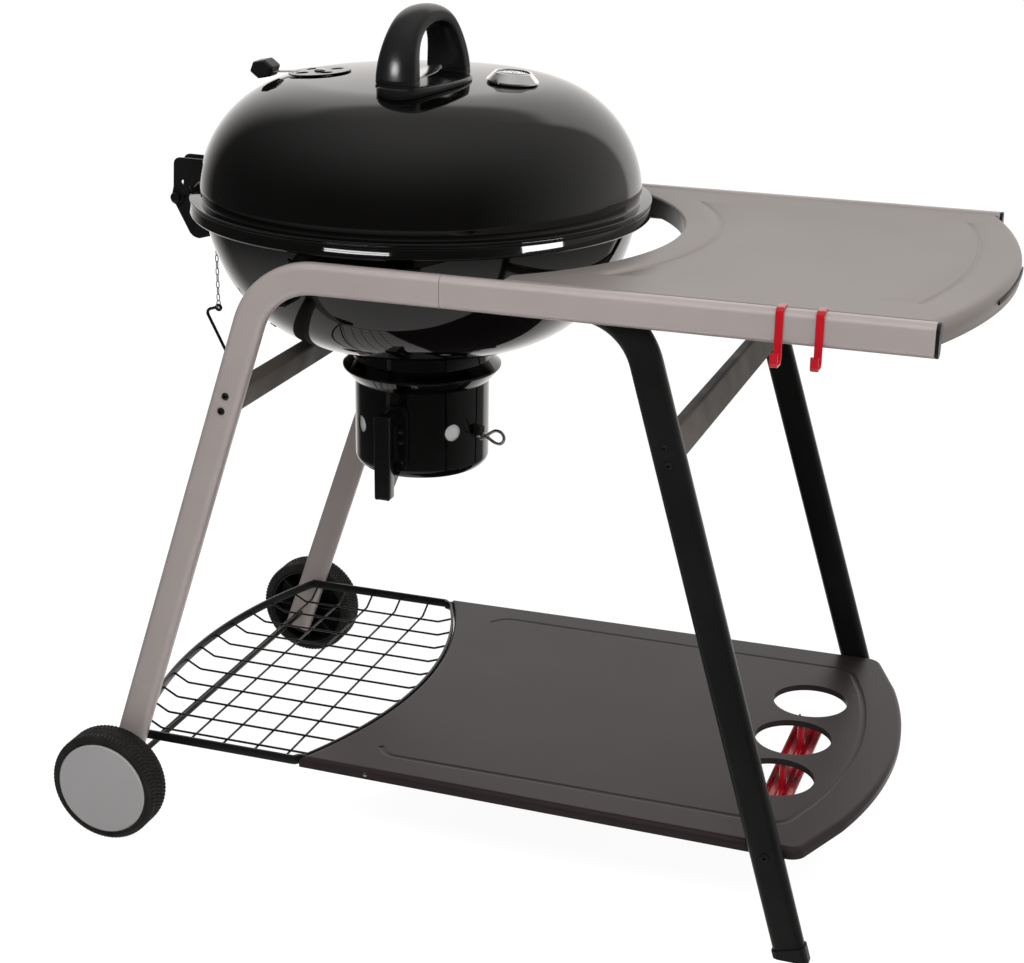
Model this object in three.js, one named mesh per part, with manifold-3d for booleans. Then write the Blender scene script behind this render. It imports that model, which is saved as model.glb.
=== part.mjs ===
// Kettle charcoal grill on a two-wheeled cart with a side table and a bottom shelf.
// Millimetres, +Z up. Sizes below are measured from the kettle's own axis: +X towards the side
// table, -Y the side the cook stands on, z = 0 the floor. The finished group is moved along X so
// that its origin is the centre of the footprint.
import * as THREE from "three";
import { mergeVertices } from "three/addons/utils/BufferGeometryUtils.js";
import Module from "manifold-3d";

const wasm = await Module();
wasm.setup();

// ---------------------------------------------------------------- driving dimensions

const gap = 0.3; // clearance between parts that touch
const railTop = 773; // top of the rails above the floor

// kettle
const rimRadius = 287.5;
const rimRise = 6; // lower edge of the rim above the rails
const rimBottom = railTop + rimRise;
const rimHeight = 17.3;
const rimTop = rimBottom + rimHeight;
const rimFlange = 15.4; // from the bowl's wall out to the rim's edge
const bowlRadius = rimRadius - rimFlange;
const bowlSpring = rimTop + 2.6; // height from which the bowl's curve is drawn
const bowlDepth = 188;
const bowlOutletRadius = 80;
const sheetWall = 1.8;
const lidRimHeight = 11.4;
const lidWallRadius = bowlRadius - 0.6;
const lidNeckHeight = 4; // rounded step between the rim and the dome
const lidSwell = 3.8; // how far the dome swells out past its wall
const lidShoulderRadius = lidWallRadius + lidSwell;
const lidKnuckleRadius = 141.6;
const lidCrownRadius = 1800;
const lidDome = 152.6; // top of the lid above the bowl's rim
const lidTop = rimTop + lidDome;
const kettleFacets = 32;

// cart tubes
const railOverhang = 14.5; // a rail's outer face out past the kettle's rim
const railHalfSpan = rimRadius + railOverhang; // from the centre plane
const railEnd = 682; // right end of the rails
const spliceX = 138.5; // joint between the bent tubes and the straight rails
const tubeHeight = 38;
const tubeWidth = 20;
const tubeWall = 1.6;
const tubeCorner = 6;
const leftLegX = -73; // where the left legs' axis meets the rail-top plane
const leftLegSlope = 0.335; // run per millimetre of drop
const leftLegTuck = 0.019; // the left legs lean inwards
const leftBendRadius = 88;
const leftLegFoot = 48; // height of the left legs' lower ends
const rightLegX = 346;
const rightLegSlope = 0.3;
const rightLegSplay = 0.036; // the right legs lean outwards below the rails
const rightBendRadius = 85;
const rightStubLength = 70; // straight length bolted along the rail
const rightStubDrop = 3.2; // the right legs sit this much lower than the rails
const spliceLength = 90;
const braceDrop = 179; // axis of both cross braces below the rail tops
const braceZ = railTop - braceDrop;
const braceHeight = 36;
const braceWidth = 18;
const footPlugHeight = 14;
const capFlange = 4;

// lid fittings
const ventInset = 151.3; // centre from the lid's shoulder
const ventX = ventInset - lidShoulderRadius;
const ventY = -27;
const ventDiscRadius = 39;
const ventHoleRadius = 8;
const ventHoleCircle = 23;
const ventKnobReach = 74; // knob centre from the rivet
const ventLeverWidth = 9;
const ventKnobRadius = 16.5;
const ventKnobHeight = 23;
const thermometerInset = 153.3;
const thermometerX = lidShoulderRadius - thermometerInset;
const thermometerY = -12;
const thermometerRadius = 32;
const thermometerHeight = 13;
const handleInsetX = 237.3; // centre in from the lid's shoulder
const handleInsetY = 190.3;
const handleX = lidShoulderRadius - handleInsetX;
const handleY = handleInsetY - lidShoulderRadius;
const handleHeading = 80; // degrees from +X to the handle's long axis
const handleBaseLength = 164;
const handleBaseWidth = 74;
const handleBaseRise = 11.1;
const handleBaseTop = lidTop + handleBaseRise;
const handleRise = 92.1; // crest above the top of the lid
const handleTop = lidTop + handleRise;
const handleFootWidth = 54;
const handleCrestWidth = 42;
const handleThickness = 19;
const handleScrewReach = 50;

// hinge
const hingeReach = 48.5; // pin axis out from the rim's edge
const hingeX = -rimRadius - hingeReach;
const hingeDrop = 9; // pin axis below the rim
const hingeZ = rimBottom - hingeDrop;
const hingePinRadius = 3;
const lidCheekY = 15; // outer faces of the lid's two cheeks
const bowlCheekY = 11;
const hingePlate = 2.5;

// locking pin and its chain
const chainX = hingeX + 52;
const chainHoleZ = hingeZ - 40.5;
const chainLinks = 10;
const chainBite = 1.3; // overlap of one link's wire with the next, which makes the chain one body
const chainWire = 1;
const chainHalfWidth = 2.9;
const ringRadius = 6;
const lockPinRadius = 2;

// ash catcher
const collarTipRadius = 102;
const collarDrop = 31.9; // the collar's widest edge below the bottom of the bowl
const collarTipZ = bowlSpring - bowlDepth - collarDrop;
const collarBottom = collarTipZ - 17;
const canRadius = 86.5;
const canTop = collarTipZ - 7;
const canHeight = 125;
const canBottom = canTop - canHeight;
const canWall = 1.6;
const canFacets = 24;
const canVentRadius = 11;
const canVentZ = canTop - 64;
const canVentAngle = -42;
const damperHalf = 18; // half height of the sleeve that closes the can's holes
const gripReach = 130; // grip axis from the kettle's axis
const gripWidth = 25;
const gripTop = canTop - 27;
const gripHeight = 116;
const gripBottom = gripTop - gripHeight;
const clipAngle = -16;
const clipZ = canTop - 67;
const clipWire = 1.3;

// grates
const cookingGrateZ = rimBottom - 3;
const charcoalRise = 44.1; // charcoal grate above the bottom of the bowl's curve
const charcoalGrateZ = bowlSpring - bowlDepth + charcoalRise;
const grateWire = 5;
const grateRod = 4;

// side table
const tableGap = 1.5; // top face below the rail tops
const tableSheet = 1.2;
const tableCutClearance = 42.5; // from the kettle's rim to the cut-out
const tableCutRadius = rimRadius + tableCutClearance;
const tableCutShoulder = 26.7; // straight edge on each side of the round cut-out
const tableBulge = 53; // how far the end curves out past the rails
const tableFlange = 26;
const tableFoldRadius = 11;
const tableGroove = 5;
const tableGrooveInset = 50;
const trimMiddleY = -35;
const trimHalf = 88;

// bottom shelf
const shelfTop = 132.4;
const shelfSheet = 1.2;
const shelfSkirt = 14;
const shelfFoldRadius = 7;
const shelfEnd = 575;
const shelfBulge = 68;
const shelfCorner = 20;
const shelfJoinX = -60; // corner where panel and basket meet at the long edges
const shelfJoinBulge = 65;
const shelfBorder = 50; // pressed border, inwards from the right end
const shelfBorderHalf = 228;
const shelfBorderStart = 25;
const basketLeftX = -285;
const basketLeftBulge = 55;
const basketBar = 4;
const basketBarHeight = 12;
const basketWire = 3;
const basketDepth = 18;
const basketPitch = 45;
const basketTail = 20; // right ends of the basket's side bars
const bottleHoleRadius = 49;
const bottlePitch = 114;
const bottleX = 511;
const restDrop = 40;
const restWidth = 40;
const restHalfLength = 150;

// wheels
const wheelRadius = 72;
const tyreWidth = 39;
const tyreSection = 12;
const hubCapRadius = 60.5;
const axleRadius = 4;
const wheelFacets = 32;

// hooks on the front rail
const hookWidth = 10;
const hookThickness = 2.5;
const hookBottom = 716;
const hookPositions = { left_hook: 520, right_hook: 563 };

// ---------------------------------------------------------------- derived places

const railAxisZ = railTop - tubeHeight / 2;
const railAxisY = railHalfSpan - tubeWidth / 2;
const railInnerY = railHalfSpan - tubeWidth;
const stubAxisY = railInnerY - gap - tubeWidth / 2;
const stubAxisZ = railAxisZ - rightStubDrop;
const legLength = (z) => railAxisZ - z;
const leftLegAt = (z) => leftLegX - leftLegSlope * (railTop - z);
const rightLegAt = (z) => rightLegX + rightLegSlope * (railTop - z);
const leftLegYAt = (z) => railAxisY - leftLegTuck * legLength(z);
const splayTop = railTop - 1.5 * tubeHeight;
const rightLegYAt = (z) => stubAxisY + rightLegSplay * Math.max(splayTop - z, 0);
const wheelX = leftLegAt(wheelRadius);
const legFaceY = leftLegYAt(wheelRadius) + tubeWidth / 2;
const wheelMiddleY = legFaceY + 3 + tyreWidth / 2;
const tableTop = railTop - tableGap;
const tableHalf = railInnerY - gap;
const tableCutHalf = tableHalf - tableCutShoulder;
const tableEndX = railEnd + tableBulge;
const lidBottom = rimTop + gap;
const outerLeftX = wheelX - wheelRadius;
const centreX = (outerLeftX + tableEndX + gap + 2) / 2;
const basketHalf = leftLegYAt(shelfTop - 20) - tubeWidth / 2 - gap;
const panelHalfRight = rightLegYAt(shelfTop) - tubeWidth / 2 - gap;

// ---------------------------------------------------------------- solids

const X = new THREE.Vector3(1, 0, 0);
const Y = new THREE.Vector3(0, 1, 0);
const Z = new THREE.Vector3(0, 0, 1);

// A closed geometry as a manifold-3d solid with its faces pointing out.
function solid(geometry) {
  const bare = (geometry.index ? geometry.toNonIndexed() : geometry.clone());
  for (const name of Object.keys(bare.attributes)) if (name !== "position") bare.deleteAttribute(name);
  const merged = mergeVertices(bare, 1e-3);
  const corners = merged.index.array;
  const kept = [];
  for (let i = 0; i < corners.length; i += 3) {
    const [a, b, c] = [corners[i], corners[i + 1], corners[i + 2]];
    if (a !== b && b !== c && c !== a) kept.push(a, b, c);
  }
  const build = (triangles) => new wasm.Manifold(new wasm.Mesh({
    numProp: 3, vertProperties: merged.attributes.position.array, triVerts: new Uint32Array(triangles),
  }));
  const made = build(kept);
  if (made.volume() > 0) return made;
  for (let i = 0; i < kept.length; i += 3) [kept[i + 1], kept[i + 2]] = [kept[i + 2], kept[i + 1]];
  return build(kept);
}

// A solid as a BufferGeometry.
function geometryOf(body) {
  const mesh = body.getMesh();
  const geometry = new THREE.BufferGeometry();
  const points = new Float32Array(mesh.numVert * 3);
  for (let i = 0; i < mesh.numVert; i++) {
    points.set(mesh.vertProperties.subarray(i * mesh.numProp, i * mesh.numProp + 3), i * 3);
  }
  geometry.setAttribute("position", new THREE.BufferAttribute(points, 3));
  geometry.setIndex(new THREE.BufferAttribute(mesh.triVerts, 1));
  const faceted = geometry.toNonIndexed();
  faceted.computeVertexNormals();
  return faceted;
}

function join(first, ...others) {
  return others.reduce((whole, other) => whole.add(other), first);
}

function cut(first, ...others) {
  return others.reduce((whole, other) => whole.subtract(other), first);
}

// A block between two corners.
function block(x0, y0, z0, x1, y1, z1) {
  const box = new THREE.BoxGeometry(x1 - x0, y1 - y0, z1 - z0);
  return solid(box.translate((x0 + x1) / 2, (y0 + y1) / 2, (z0 + z1) / 2));
}

// A rod or tube cutter from point a to point b.
function rod(a, b, radius, sides = 16) {
  const along = new THREE.Vector3().subVectors(b, a);
  const cylinder = new THREE.CylinderGeometry(radius, radius, along.length(), sides);
  const turn = new THREE.Quaternion().setFromUnitVectors(Y, along.clone().normalize());
  const middle = new THREE.Vector3().addVectors(a, b).multiplyScalar(0.5);
  return solid(cylinder.applyQuaternion(turn).translate(middle.x, middle.y, middle.z));
}

// A profile of [radius, height] pairs turned about the Z axis.
function revolve(profile, facets) {
  const points = profile.map(([r, z]) => new THREE.Vector2(r, z));
  return solid(new THREE.LatheGeometry(points, facets).rotateX(Math.PI / 2));
}

// A closed profile of [radius, height] pairs turned about the Z axis.
function revolveRing(profile, facets) {
  return revolve([...profile, profile[0]], facets);
}

// A plan outline raised from z0 to z1.
function plate(shape, z0, z1, curveSegments = 24) {
  const settings = { depth: z1 - z0, bevelEnabled: false, curveSegments };
  return solid(new THREE.ExtrudeGeometry(shape, settings).translate(0, 0, z0));
}

function roundedBox(width, height, corner) {
  const [w, h] = [width / 2, height / 2];
  const shape = new THREE.Shape();
  shape.moveTo(-w + corner, -h);
  shape.lineTo(w - corner, -h);
  shape.absarc(w - corner, -h + corner, corner, -Math.PI / 2, 0);
  shape.lineTo(w, h - corner);
  shape.absarc(w - corner, h - corner, corner, 0, Math.PI / 2);
  shape.lineTo(-w + corner, h);
  shape.absarc(-w + corner, h - corner, corner, Math.PI / 2, Math.PI);
  shape.lineTo(-w, -h + corner);
  shape.absarc(-w + corner, -h + corner, corner, Math.PI, 1.5 * Math.PI);
  return shape;
}

// The corners of a rounded rectangle, with a few facets to each rounded corner.
function boxContour(width, height, corner, facets = 1) {
  return roundedBox(width, height, corner).getPoints(facets).slice(0, -1);
}

function roundContour(radius, sides) {
  const points = [];
  for (let i = 0; i < sides; i++) {
    const turn = ((i + 0.5) / sides) * 2 * Math.PI;
    points.push(new THREE.Vector2(radius * Math.cos(turn), radius * Math.sin(turn)));
  }
  return points;
}

// A path of points with every inner corner turned into an arc of the given radius.
function bentPath(points, radius, arcSteps) {
  const path = [points[0].clone()];
  for (let i = 1; i < points.length - 1; i++) {
    const before = new THREE.Vector3().subVectors(points[i - 1], points[i]).normalize();
    const after = new THREE.Vector3().subVectors(points[i + 1], points[i]).normalize();
    const half = before.angleTo(after) / 2;
    const reach = radius / Math.tan(half);
    const middle = new THREE.Vector3().addVectors(before, after).normalize();
    const centre = points[i].clone().addScaledVector(middle, radius / Math.sin(half));
    const start = points[i].clone().addScaledVector(before, reach).sub(centre);
    const end = points[i].clone().addScaledVector(after, reach).sub(centre);
    const axis = new THREE.Vector3().crossVectors(start, end).normalize();
    for (let k = 0; k <= arcSteps; k++) {
      const turned = start.clone().applyAxisAngle(axis, (start.angleTo(end) * k) / arcSteps);
      path.push(turned.add(centre));
    }
  }
  path.push(points[points.length - 1].clone());
  return path;
}

// A contour swept along a path. The contour's x runs along `side`, its y across the path.
function sweep(outline, path, side, closed = false) {
  const contour = THREE.ShapeUtils.isClockWise(outline) ? outline.slice().reverse() : outline;
  const rings = path.map((point, i) => {
    const last = path.length - 1;
    const before = path[i > 0 ? i - 1 : closed ? last : 0];
    const after = path[i < last ? i + 1 : closed ? 0 : last];
    const tangent = new THREE.Vector3().subVectors(after, before).normalize();
    const lateral = side.clone().addScaledVector(tangent, -side.dot(tangent)).normalize();
    const across = new THREE.Vector3().crossVectors(tangent, lateral);
    return contour.map((c) => point.clone().addScaledVector(lateral, c.x).addScaledVector(across, c.y));
  });
  return loft(rings, contour, closed);
}

// Rings of equal point count joined into one closed skin, capped with the flat contour.
function loft(rings, contour, closed = false) {
  const count = contour.length;
  const triangles = [];
  const spans = closed ? rings.length : rings.length - 1;
  for (let i = 0; i < spans; i++) {
    const [ring, next] = [i, (i + 1) % rings.length].map((n) => n * count);
    for (let k = 0; k < count; k++) {
      const j = (k + 1) % count;
      triangles.push(ring + k, ring + j, next + j, ring + k, next + j, next + k);
    }
  }
  if (!closed) {
    const end = (rings.length - 1) * count;
    for (const [a, b, c] of THREE.ShapeUtils.triangulateShape(contour, [])) {
      triangles.push(c, b, a, end + a, end + b, end + c);
    }
  }
  const geometry = new THREE.BufferGeometry().setFromPoints(rings.flat());
  geometry.setIndex(triangles);
  return solid(geometry);
}

// A hollow rectangular tube along a path in a plane that holds Z.
function tube(path, side = Y) {
  const outer = sweep(boxContour(tubeWidth, tubeHeight, tubeCorner), path, side);
  const ends = [path[1], path[path.length - 2]];
  const long = path.map((p) => p.clone());
  [0, long.length - 1].forEach((n, i) => {
    const out = new THREE.Vector3().subVectors(long[n], ends[i]).normalize();
    long[n].addScaledVector(out, 5);
  });
  const bore = boxContour(tubeWidth - 2 * tubeWall, tubeHeight - 2 * tubeWall, tubeCorner - tubeWall);
  return cut(outer, sweep(bore, long, side));
}

const mirrorY = (body) => body.mirror([0, 1, 0]);
const sides = [["front", -1], ["rear", 1]];

// ---------------------------------------------------------------- finishes

const finish = (color, roughness, metalness) => ({ color, roughness, metalness });
const taupePaint = finish(0x9a908b, 0.38, 0.55);
const blackPaint = finish(0x161616, 0.35, 0.3);
const blackEnamel = finish(0x070707, 0.08, 0.1);
const shelfPaint = finish(0x474344, 0.45, 0.4);
const blackPlastic = finish(0x121212, 0.5, 0);
const tyreBlack = finish(0x1a1a1a, 0.85, 0);
const hubGrey = finish(0x8c8a8a, 0.5, 0.1);
const redPaint = finish(0xb01018, 0.2, 0.1);
const brightSteel = finish(0xd0d0d0, 0.15, 1);
const plainSteel = finish(0x8f8f8f, 0.35, 1);
const dialWhite = finish(0xe8e8e4, 0.6, 0);
const clearGlass = finish(0xdfe8ea, 0.05, 0);

const grill = new THREE.Group();
const cart = new THREE.Group();
cart.position.x = -centreX;
grill.add(cart);

function piece(name, body, look) {
  const mesh = new THREE.Mesh(geometryOf(body), new THREE.MeshStandardMaterial(look));
  mesh.name = name;
  cart.add(mesh);
  return body;
}

const at = (x, y, z) => new THREE.Vector3(x, y, z);

// ---------------------------------------------------------------- cart frame

// Low round bolt head on a face at y, standing outwards.
function boltHead(x, y, z, radius = 6, height = 3) {
  return rod(at(x, y - 1, z), at(x, y + height, z), radius, 8);
}

// Left leg and the first stretch of rail, one tube bent at the shoulder.
function leftLeg() {
  const shoulder = at(leftLegAt(railAxisZ), 0, railAxisZ);
  const foot = at(leftLegAt(leftLegFoot), 0, leftLegFoot);
  const path = bentPath([foot, shoulder, at(spliceX - gap, 0, railAxisZ)], leftBendRadius, 5);
  path.forEach((p) => (p.y = leftLegYAt(p.z)));
  const axleHole = rod(at(wheelX, 0, wheelRadius), at(wheelX, railHalfSpan, wheelRadius), axleRadius + gap);
  const bolts = [604, 585].map((z) => boltHead(leftLegAt(z), leftLegYAt(z) + tubeWidth / 2, z, 4.5));
  return join(cut(tube(path), axleHole), ...bolts);
}

// Right leg: it rises from the floor and bends to lie along the inner face of the rail.
function rightLeg() {
  const shoulderX = rightLegX + rightLegSlope * (railTop - stubAxisZ);
  const stubX = shoulderX - rightBendRadius * Math.tan(Math.acos(legLean()) / 2) - rightStubLength;
  const foot = at(rightLegAt(footPlugHeight), 0, footPlugHeight);
  const path = bentPath([foot, at(shoulderX, 0, stubAxisZ), at(stubX, 0, stubAxisZ)], rightBendRadius, 5);
  path.forEach((p) => (p.y = rightLegYAt(p.z)));
  const bolts = [600, 581].map((z) => boltHead(rightLegAt(z), rightLegYAt(z) + tubeWidth / 2, z, 4.5));
  const shelfBolt = boltHead(rightLegAt(127), rightLegYAt(127) + tubeWidth / 2, 127, 5);
  return join(tube(path), ...bolts, shelfBolt);
}

// Cosine of the turn between the rail and a right leg.
function legLean() {
  return rightLegSlope / Math.hypot(1, rightLegSlope);
}

function straightRail() {
  return tube([at(spliceX, railAxisY, railAxisZ), at(railEnd, railAxisY, railAxisZ)]);
}

// Sleeve pressed into both tubes behind the joint in each rail.
function spliceSleeve() {
  const wall = tubeWall + gap;
  const contour = boxContour(tubeWidth - 2 * wall, tubeHeight - 2 * wall, tubeCorner - wall);
  const reach = spliceLength / 2;
  const ends = [at(spliceX - reach, railAxisY, railAxisZ), at(spliceX + reach, railAxisY, railAxisZ)];
  return sweep(contour, ends, Y);
}

// Moulded plug: a flange over the tube's end and a stem inside it.
function railCap() {
  const flangePath = [at(railEnd + gap, railAxisY, railAxisZ), at(railEnd + capFlange, railAxisY, railAxisZ)];
  const flange = sweep(boxContour(tubeWidth, tubeHeight, tubeCorner), flangePath, Y);
  const wall = tubeWall + gap;
  const stem = boxContour(tubeWidth - 2 * wall, tubeHeight - 2 * wall, tubeCorner - wall);
  const stemPath = [at(railEnd - 18, railAxisY, railAxisZ), at(railEnd + 1, railAxisY, railAxisZ)];
  return join(flange, sweep(stem, stemPath, Y));
}

// Foot of a right leg: a wedge-soled plug that stands flat on the floor.
function footPlug() {
  const along = (z) => at(rightLegAt(z), rightLegYAt(z), z);
  const direction = new THREE.Vector3().subVectors(along(1), along(0)).normalize();
  const mouth = along(footPlugHeight);
  const collar = [mouth.clone().addScaledVector(direction, -30), mouth.clone().addScaledVector(direction, -gap)];
  const sole = sweep(boxContour(tubeWidth + 3, tubeHeight + 3, tubeCorner), collar, Y);
  const wall = tubeWall + gap;
  const stem = boxContour(tubeWidth - 2 * wall, tubeHeight - 2 * wall, tubeCorner - wall);
  const stemPath = [mouth.clone().addScaledVector(direction, -3), mouth.clone().addScaledVector(direction, 20)];
  const belowFloor = block(0, 0, -80, 2 * railEnd, 2 * railHalfSpan, 0);
  return cut(join(sole, sweep(stem, stemPath, Y)), belowFloor);
}

// Domed plug in the lower end of a left leg.
function legPlug() {
  const along = (z) => at(leftLegAt(z), leftLegYAt(z), z);
  const direction = new THREE.Vector3().subVectors(along(1), along(0)).normalize();
  const mouth = along(leftLegFoot);
  const wall = tubeWall + gap;
  const stem = boxContour(tubeWidth - 2 * wall, tubeHeight - 2 * wall, tubeCorner - wall);
  const flange = [-gap, -4].map((d) => mouth.clone().addScaledVector(direction, d));
  const inside = [-1, 15].map((d) => mouth.clone().addScaledVector(direction, d));
  return join(sweep(boxContour(tubeWidth, tubeHeight, tubeCorner), flange, Y), sweep(stem, inside, Y));
}

// A cross brace: a tube from leg to leg with its section turned with the legs.
function crossBrace(x, halfLength, slope) {
  const lean = new THREE.Vector3(slope, 0, 1).normalize();
  const path = [at(x, -halfLength, braceZ), at(x, halfLength, braceZ)];
  const outer = sweep(boxContour(braceHeight, braceWidth, 4), path, lean);
  const long = [at(x, -halfLength - 5, braceZ), at(x, halfLength + 5, braceZ)];
  const bore = boxContour(braceHeight - 2 * tubeWall, braceWidth - 2 * tubeWall, 4 - tubeWall);
  return cut(outer, sweep(bore, long, lean));
}

for (const [side, sign] of sides) {
  const place = (body) => (sign < 0 ? mirrorY(body) : body);
  piece(`${side}_left_leg`, place(leftLeg()), taupePaint);
  piece(`${side}_side_rail`, place(straightRail()), taupePaint);
  piece(`${side}_rail_splice`, place(spliceSleeve()), plainSteel);
  piece(`${side}_rail_cap`, place(railCap()), blackPlastic);
  piece(`${side}_right_leg`, place(rightLeg()), blackPaint);
  piece(`${side}_foot_plug`, place(footPlug()), blackPlastic);
  piece(`${side}_leg_plug`, place(legPlug()), blackPlastic);
}
const leftBraceHalf = leftLegYAt(braceZ - braceHeight / 2) - tubeWidth / 2 - gap;
const rightBraceHalf = rightLegYAt(braceZ + braceHeight / 2) - tubeWidth / 2 - gap;
piece("left_cross_brace", crossBrace(leftLegAt(braceZ), leftBraceHalf, leftLegSlope), taupePaint);
piece("right_cross_brace", crossBrace(rightLegAt(braceZ), rightBraceHalf, -rightLegSlope), taupePaint);

// ---------------------------------------------------------------- wheels

function onWheelAxis(body, y) {
  return body.rotate([-90, 0, 0]).translate([wheelX, y, wheelRadius]);
}

// Tyre seen along its own axis: z runs outwards across the tread.
function tyre() {
  const half = tyreWidth / 2;
  const inner = wheelRadius - tyreSection;
  const shoulder = 5;
  return revolveRing([
    [inner, -half], [wheelRadius - 4, -half], [wheelRadius, shoulder - half], [wheelRadius, half - shoulder],
    [wheelRadius - 4, half], [inner, half],
  ], wheelFacets);
}

const drumRadius = wheelRadius - tyreSection - gap;
const drumWall = 4;
const webFace = tyreWidth / 2 - 10;

// Moulded wheel body: rim drum, web set towards the outside and a long hub round the axle.
function wheelBody() {
  const half = tyreWidth / 2;
  const bore = axleRadius + gap;
  const drumInside = drumRadius - drumWall;
  const body = revolveRing([
    [bore, -half - 2], [13, -half - 2], [15, webFace - 4], [drumInside, webFace - 4],
    [drumInside, -half + 1], [drumRadius, -half + 1], [drumRadius, half], [drumInside, half],
    [drumInside, webFace], [bore, webFace],
  ], wheelFacets);
  return body;
}

// Flat disc that snaps into the outside of the wheel body.
function hubCap() {
  const seat = tyreWidth / 2 + gap;
  const inset = drumRadius - drumWall - gap;
  return revolve([
    [0, seat], [inset - 2.5, seat], [inset - 2.5, webFace + 1], [inset, webFace + 1], [inset, seat],
    [hubCapRadius, seat], [hubCapRadius, seat + 1], [hubCapRadius - 1.6, seat + 2.6], [0, seat + 2.6],
  ], wheelFacets);
}

for (const [side, sign] of sides) {
  const place = (body) => {
    const outwards = onWheelAxis(body, wheelMiddleY);
    return sign < 0 ? mirrorY(outwards) : outwards;
  };
  piece(`${side}_tyre`, place(tyre()), tyreBlack);
  piece(`${side}_wheel`, place(wheelBody()), blackPlastic);
  piece(`${side}_hub_cap`, place(hubCap()), hubGrey);
}
const clipHeight = 3;
const axleSeat = wheelMiddleY + webFace + gap;
const axleEnd = axleSeat + clipHeight + 2;
const axleRod = rod(at(wheelX, -axleEnd, wheelRadius), at(wheelX, axleEnd, wheelRadius), axleRadius, 24);
piece("axle", axleRod, blackPaint);
for (const [side, sign] of sides) {
  const bore = axleRadius + gap;
  const clip = revolveRing([[bore, 0], [9, 0], [9, 1], [6, clipHeight], [bore, clipHeight]], 16);
  const outwards = onWheelAxis(clip, axleSeat);
  piece(`${side}_axle_clip`, sign < 0 ? mirrorY(outwards) : outwards, plainSteel);
}

// ---------------------------------------------------------------- sheet-metal edges

// Points on an arc about a centre on the X axis, from -half to +half in Y.
function arcPoints(middle, radius, half, count) {
  const reach = Math.asin(half / radius);
  const points = [];
  for (let i = 0; i <= count; i++) {
    const turn = -reach + (2 * reach * i) / count;
    points.push(new THREE.Vector2(middle + radius * Math.cos(turn), radius * Math.sin(turn)));
  }
  return points;
}

// Radius of an arc that rises by `bulge` over a chord of twice `half`.
const arcRadius = (half, bulge) => (half * half + bulge * bulge) / (2 * bulge);

// Points along an edge at x that curves out by `bulge` at its middle; a negative bulge goes to -X.
function bulgeEdge(x, half, bulge, count = 12) {
  const size = Math.abs(bulge);
  const points = arcPoints(size - arcRadius(half, size), arcRadius(half, size), half, count);
  return points.map((p) => new THREE.Vector2(x + Math.sign(bulge) * p.x, p.y));
}

// A plan edge moved square to itself; a positive offset moves an edge that runs along +Y to +X.
function offsetEdge(edge, offset) {
  return edge.map((p, i) => {
    const before = edge[Math.max(i - 1, 0)];
    const after = edge[Math.min(i + 1, edge.length - 1)];
    const along = new THREE.Vector2().subVectors(after, before).normalize();
    return new THREE.Vector2(p.x + along.y * offset, p.y - along.x * offset);
  });
}

// Upright strip between two offsets of a plan edge.
function band(edge, inner, outer, z0, z1) {
  const outline = [...offsetEdge(edge, inner), ...offsetEdge(edge, outer).reverse()];
  return plate(new THREE.Shape(outline), z0, z1);
}

// Sheet rolled over along a plan edge: a quarter fold at the top and a skirt below it.
function foldedEdge(edge, top, sheet, radius, depth, steps = 3) {
  const contour = [[0, -radius - 2]];
  const inside = [];
  for (let i = 0; i <= steps; i++) {
    const turn = ((Math.PI / 2) * i) / steps;
    const fold = (r) => [-radius + r * Math.cos(turn), -radius + r * Math.sin(turn)];
    contour.push(fold(radius));
    inside.push(fold(radius - sheet));
  }
  contour.push([-depth, 0], [-depth, -sheet], ...inside.reverse(), [-sheet, -radius - 2]);
  const outline = contour.map(([z, out]) => new THREE.Vector2(z, out));
  return sweep(outline, edge.map((p) => at(p.x, p.y, top)), Z);
}

// A plan edge with both ends drawn back by a distance.
function drawnBack(edge, distance) {
  const back = (end, next) => end.clone().lerp(next, distance / end.distanceTo(next));
  return [back(edge[0], edge[1]), ...edge.slice(1, -1), back(edge[edge.length - 1], edge[edge.length - 2])];
}

// Groove pressed into a sheet along a plan edge.
function pressGroove(body, edge, width, top, sheet) {
  const half = width / 2;
  const below = band(edge, -half - sheet, half + sheet, top - 2 * sheet, top - sheet / 2);
  const above = band(drawnBack(edge, 2 * sheet), -half, half, top - 0.9 * sheet, top + 5);
  return cut(join(body, below), above);
}

// ---------------------------------------------------------------- side table

function sideTable() {
  const cutEdge = arcPoints(0, tableCutRadius, tableCutHalf, 20);
  const endEdge = bulgeEdge(railEnd, tableHalf, tableBulge);
  const cornerX = cutEdge[0].x - 4;
  const outline = [
    new THREE.Vector2(cornerX, -tableHalf), ...offsetEdge(endEdge, -tableFoldRadius - 1),
    new THREE.Vector2(cornerX, tableHalf), ...offsetEdge(cutEdge, 3).reverse(),
  ];
  const sheet = plate(new THREE.Shape(outline), tableTop - tableSheet, tableTop);
  const endFold = foldedEdge(endEdge, tableTop, tableSheet, tableFoldRadius, tableFlange);
  const cutFold = foldedEdge(cutEdge.slice().reverse(), tableTop, tableSheet, 3, tableFlange, 2);
  const legRoom = rightLegAt(railTop - tubeHeight) + tubeHeight;
  const flangeTop = tableTop - tableSheet / 2;
  const sideFlange = block(
    legRoom, tableHalf - tableSheet, tableTop - tableFlange, railEnd, tableHalf, flangeTop,
  );
  let body = join(sheet, endFold, cutFold, sideFlange, mirrorY(sideFlange));
  const endRadius = arcRadius(tableHalf, tableBulge);
  const grooves = [
    arcPoints(0, tableCutRadius + tableGrooveInset, tableCutHalf * 0.85, 14),
    arcPoints(tableEndX - endRadius, endRadius - tableGrooveInset, tableHalf * 0.78, 10),
  ];
  for (const groove of grooves) body = pressGroove(body, groove, tableGroove, tableTop, tableSheet);
  return body;
}
piece("side_table", sideTable(), taupePaint);

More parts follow.
